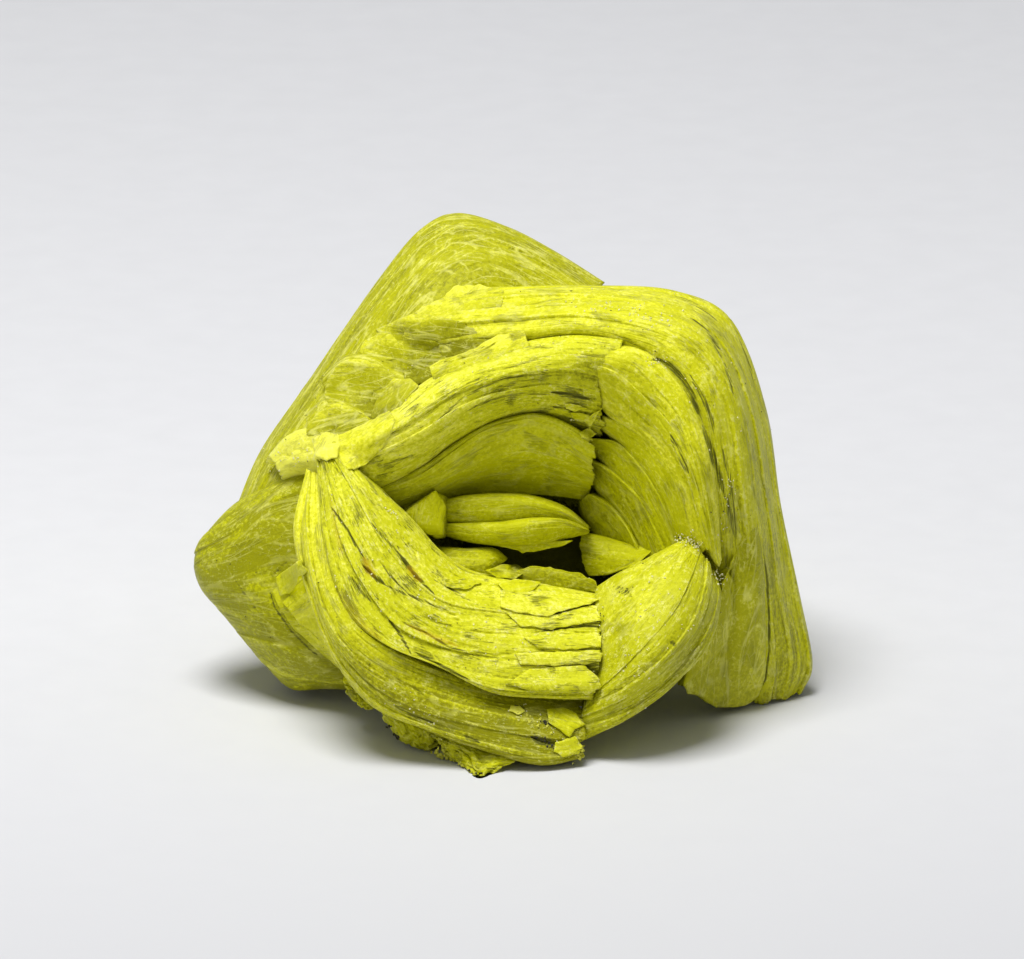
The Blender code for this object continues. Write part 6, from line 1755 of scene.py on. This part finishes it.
def crumbs(name, places, size, material, seed, buried=0.3, squash=0.5):
    """One joined mesh of small lumps at places on the leaning face, in mm; size is their half width in mm."""
    places = np.array(places, float)
    if places.shape[1] == 2:
        places = np.concatenate([places, height_at(places)[:, None] - buried * size], 1)
    # the others would hang in the air behind the face, or under the floor
    places = places[(places[:, 2] > FACE_BACK) & (upright(places)[:, 2] > size * MM)]
    spots = bpy.data.meshes.new(name + "_spots")
    spots.from_pydata(upright(places).tolist(), [], [])
    holder = bpy.data.objects.new(name + "_spots", spots)
    bpy.context.scene.collection.objects.link(holder)
    tree = bpy.data.node_groups.new(name, "GeometryNodeTree")
    tree.interface.new_socket("Geometry", in_out="INPUT", socket_type="NodeSocketGeometry")
    half_width = tree.interface.new_socket("Half width", in_out="INPUT", socket_type="NodeSocketFloat")
    tree.interface.new_socket("Geometry", in_out="OUTPUT", socket_type="NodeSocketGeometry")
    given = add(tree, "NodeGroupInput")
    lump = add(
        tree, "GeometryNodeMeshIcoSphere", Radius=given.outputs["Half width"], Subdivisions=1,
    ).outputs["Mesh"]
    lump = add(tree, "GeometryNodeTransform", Geometry=lump, Scale=(1.0, 0.75, squash)).outputs["Geometry"]
    turned = add(
        tree, "FunctionNodeRandomValue", {"data_type": "FLOAT_VECTOR"}, _1=(math.tau, math.tau, math.tau),
        Seed=seed,
    ).outputs[0]
    turned = add(tree, "FunctionNodeEulerToRotation", Euler=turned).outputs[0]
    sized = add(
        tree, "FunctionNodeRandomValue", {"data_type": "FLOAT"}, _2=0.45, _3=1.3, Seed=seed + 1,
    ).outputs[1]
    placed = add(
        tree, "GeometryNodeInstanceOnPoints", Points=given.outputs["Geometry"], Instance=lump,
        Rotation=turned, Scale=sized,
    ).outputs["Instances"]
    real = add(tree, "GeometryNodeRealizeInstances", Geometry=placed).outputs["Geometry"]
    knocked = add(
        tree, "FunctionNodeRandomValue", {"data_type": "FLOAT_VECTOR"}, _0=[-0.25 * size * MM] * 3,
        _1=[0.25 * size * MM] * 3, Seed=seed + 2,
    ).outputs[0]
    real = add(tree, "GeometryNodeSetPosition", Geometry=real, Offset=knocked).outputs["Geometry"]
    real = add(tree, "GeometryNodeSetMaterial", Geometry=real, Material=material).outputs["Geometry"]
    add(tree, "NodeGroupOutput", Geometry=real)
    modifier = holder.modifiers.new("crumbs", "NODES")
    modifier.node_group = tree
    modifier[half_width.identifier] = size * MM
    evaluated = holder.evaluated_get(bpy.context.evaluated_depsgraph_get())
    mesh = bpy.data.meshes.new_from_object(evaluated)
    bpy.data.objects.remove(holder)
    mesh.name = name
    piece = bpy.data.objects.new(name, mesh)
    bpy.context.scene.collection.objects.link(piece)
    return grown(piece)


def dusty(name, dark, light, roughness):
    """A dull crumb of mineral, mottled between two colours."""
    material = bpy.data.materials.new(name)
    material.use_nodes = True
    tree = material.node_tree
    surface = tree.nodes["Principled BSDF"]
    place = add(tree, "ShaderNodeTexCoord").outputs["Object"]
    mottle = add(tree, "ShaderNodeTexNoise", Vector=place, Scale=5000.0, Detail=3.0).outputs["Fac"]
    tree.links.new(
        add(
            tree, "ShaderNodeMix", {"data_type": "RGBA"}, _0=mottle, _6=colour(dark), _7=colour(light),
        ).outputs[2],
        surface.inputs["Base Color"],
    )
    tree.links.new(
        add(
            tree, "ShaderNodeMath", {"operation": "MULTIPLY_ADD"}, _0=mottle, _1=0.3, _2=roughness,
        ).outputs[0],
        surface.inputs["Roughness"],
    )
    tree.links.new(
        add(tree, "ShaderNodeBump", Height=mottle, Strength=0.7, Distance=0.03 * MM).outputs["Normal"],
        surface.inputs["Normal"],
    )
    return material


def strewn(draw, count, line, spread):
    """Places strewn at random about a broken line on the leaning face."""
    line = np.array(line, float)
    at = draw.uniform(0, len(line) - 1, count)
    low = np.minimum(at.astype(int), len(line) - 2)
    return line[low] + (at - low)[:, None] * (line[low + 1] - line[low]) + draw.normal(
        0, spread, (count, 2),
    )


# Powdered autunite: crushed plate, so it is matt and cream white.
bruised = dusty("autunite_bruised_white", "#D2CE8E", "#F6F3D2", 0.6)
# Dark matrix rock, broken to grains: nearly black and dull.
matrix = dusty("dark_matrix_grains", "#15140A", "#3A3820", 0.55)
# Autunite fragments, broken but not crushed: yellow and a little waxy.
fragments = dusty("autunite_fragments", "#A5A318", "#DAD84A", 0.45)
draw = np.random.default_rng(77)
white = np.concatenate([
    strewn(draw, 60, ((11.6, -4.0), (12.6, -4.3), (13.2, -4.8)), 0.22),
    strewn(draw, 50, ((5.0, 11.9), (8.0, 12.0), (11.5, 10.8)), 0.35),
    strewn(draw, 22, ((-14.6, 1.2), (-15.8, 1.4), (-16.8, 1.8)), 0.5),
    strewn(draw, 26, ((14.2, -4.6), (15.2, -1.0), (15.4, 0.4)), 0.25),
    strewn(draw, 20, ((9.6, 8.2), (11.0, 8.2)), 0.2),
    strewn(draw, 14, ((4.2, 4.5), (4.7, 4.2)), 0.15),
    strewn(draw, 22, ((14.0, -6.6), (14.9, -7.0)), 0.2),
    strewn(draw, 30, ((-8.8, -14.8), (-6.0, -16.0), (-5.2, -17.4)), 0.4),
    strewn(draw, 26, ((-0.2, -16.0), (1.2, -16.6), (2.8, -17.2), (4.2, -18.8)), 0.3),
    strewn(draw, 12, ((-8.8, -1.9), (-8.0, -2.6)), 0.12),
    strewn(draw, 10, ((-5.0, -1.4), (-5.0, -3.6)), 0.1),
    strewn(draw, 90, ((-12.0, -2.0), (-9.0, -8.0), (0.0, -12.0), (5.0, -12.0)), 1.6),
    strewn(draw, 70, ((-12.0, 4.0), (-5.0, 9.0), (5.0, 12.5), (13.0, 10.0), (17.0, 2.0)), 1.2),
    strewn(draw, 60, ((8.0, -8.0), (11.0, -10.0), (8.0, -14.0)), 1.4),
])
crumbs("white_scales", white, 0.075, bruised, 501, buried=0.5)
specks = np.concatenate([
    [
        (-19.5, -6.8), (-17.0, -8.3), (-17.0, -11.1), (-16.9, -8.1), (-16.2, -4.0), (11.3, -11.4),
        (-9.5, -6.7), (3.7, -10.4),
    ],
    strewn(draw, 16, ((11.8, -4.1), (12.8, -4.5)), 0.2),
    strewn(draw, 14, ((6.1, -9.2), (6.3, -10.5), (6.2, -11.6)), 0.12),
    strewn(draw, 10, ((7.4, -7.5), (8.4, -7.9)), 0.2),
    strewn(draw, 12, ((14.4, -3.0), (15.2, -0.6)), 0.3),
    strewn(
        draw, 60, ((-15.0, 2.0), (-8.0, 6.0), (4.0, 11.0), (14.0, 8.0), (18.0, -6.0), (16.0, -12.0)), 1.8,
    ),
    strewn(draw, 40, ((-20.0, -6.0), (-15.0, -9.0), (-4.0, -13.0), (5.0, -17.0)), 1.6),
])
crumbs("black_specks", specks, 0.05, matrix, 511, buried=0.4)
lumps = np.concatenate([
    strewn(draw, 10, ((1.3, -17.8), (2.2, -18.2)), 0.1),
    strewn(draw, 12, ((2.5, -18.5), (3.3, -18.6)), 0.12),
    strewn(draw, 9, ((1.9, -16.8), (2.9, -17.1)), 0.07),
    strewn(draw, 5, ((0.1, -15.8), (0.4, -15.9)), 0.08),
    strewn(draw, 8, ((-8.7, -17.2), (-8.4, -17.2)), 0.08),
    strewn(draw, 10, ((-8.2, -17.8), (-7.9, -18.0)), 0.12),
    strewn(draw, 12, ((-3.2, -20.1), (-2.4, -20.5), (-1.8, -20.5)), 0.1),
])
crumbs("dark_grains", lumps, 0.11, matrix, 521, buried=0.35, squash=0.7)
bits = np.concatenate([
    strewn(draw, 40, ((-5.4, -18.9), (-4.8, -19.6), (-3.6, -19.8)), 0.25),
    strewn(draw, 30, ((4.2, -17.6), (4.8, -18.8), (4.2, -19.5)), 0.25),
    strewn(draw, 16, ((4.0, 4.9), (5.6, 4.2), (5.4, 3.2)), 0.2),
    strewn(draw, 20, ((0.0, -16.2), (3.0, -17.6)), 0.3),
])
crumbs("yellow_fragments", bits, 0.16, fragments, 531, buried=0.5, squash=0.6)

# --------------------------------------------------------------------------------------------------
# Stage: a plain floor of matt white paper, a soft overhead light with a weak fill, and the camera.
# Nothing here belongs to the specimen. The camera looks square at the leaning face.
VIEW_TARGET = (0.0, 0.0, -8.0)
VIEW_DISTANCE = 1000.0
SENSOR = 36.0
FRAME_WIDTH = 71.68  # mm of the object's own plane across the picture

floor_mesh = bpy.data.meshes.new("floor")
floor_mesh.from_pydata([(-3, -3, 0), (3, -3, 0), (3, 3, 0), (-3, 3, 0)], [], [(0, 1, 2, 3)])
# Uncoated white paper, pressed smooth: even and matt, with painted shade making it a little darker toward the
# front.
paper = bpy.data.materials.new("matt_white_paper")
paper.use_nodes = True
paper_surface = paper.node_tree.nodes["Principled BSDF"]
paper_place = add(paper.node_tree, "ShaderNodeTexCoord").outputs["Object"]
paper_grain = add(
    paper.node_tree, "ShaderNodeTexNoise", Vector=paper_place, Scale=300.0, Detail=3.0,
).outputs["Fac"]
paper_shade = add(
    paper.node_tree, "ShaderNodeMix", {"data_type": "RGBA"}, _0=paper_grain, _6=colour("#D4D4D6"),
    _7=colour("#DADADC"),
).outputs[2]
# painted shade: greyer toward the front edge
paper_depth = add(paper.node_tree, "ShaderNodeSeparateXYZ", Vector=paper_place).outputs["Y"]
paper_front_shade = add(
    paper.node_tree, "ShaderNodeMapRange", Value=paper_depth, From_Min=20.0 * MM, From_Max=-60.0 * MM,
).outputs[0]
paper_shade = add(
    paper.node_tree, "ShaderNodeMix", {"data_type": "RGBA"}, _0=paper_front_shade, _6=paper_shade,
    _7=colour("#C6C6C8"),
).outputs[2]
paper.node_tree.links.new(paper_shade, paper_surface.inputs["Base Color"])
paper_surface.inputs["Roughness"].default_value = 0.7
floor_mesh.materials.append(paper)
floor = bpy.data.objects.new("floor", floor_mesh)
bpy.context.scene.collection.objects.link(floor)

world = bpy.data.worlds.new("studio")
bpy.context.scene.world = world
world.use_nodes = True
world.node_tree.nodes["Background"].inputs["Color"].default_value = colour("#F4F7FB")
world.node_tree.nodes["Background"].inputs["Strength"].default_value = 0.25


def softbox(name, place, size, power):
    """A square studio light aimed at the specimen, its place given in mm from the middle of the base."""
    light = bpy.data.lights.new(name, "AREA")
    light.shape = "SQUARE"
    light.size = size * MM
    light.energy = power
    lamp = bpy.data.objects.new(name, light)
    lamp.location = Vector(place) * MM
    lamp.rotation_euler = (Vector((0, 0, 12 * MM)) - lamp.location).to_track_quat("-Z", "Y").to_euler()
    bpy.context.scene.collection.objects.link(lamp)


softbox("overhead", (-85.0, -80.0, 500.0), 240.0, 3.15)
softbox("fill_left", (-420.0, -460.0, 260.0), 300.0, 0.25)

camera_data = bpy.data.cameras.new("camera")
camera_data.sensor_width = SENSOR
camera_data.lens = SENSOR * VIEW_DISTANCE / FRAME_WIDTH
camera_data.clip_start = 0.05
camera = bpy.data.objects.new("camera", camera_data)
target = Vector(upright(VIEW_TARGET))
out_of_face = Vector(FACE[2])
camera.location = target + out_of_face * VIEW_DISTANCE * MM
camera.rotation_euler = (-out_of_face).to_track_quat("-Z", "Y").to_euler()
bpy.context.scene.collection.objects.link(camera)
bpy.context.scene.camera = camera
bpy.context.scene.view_settings.view_transform = "Standard"
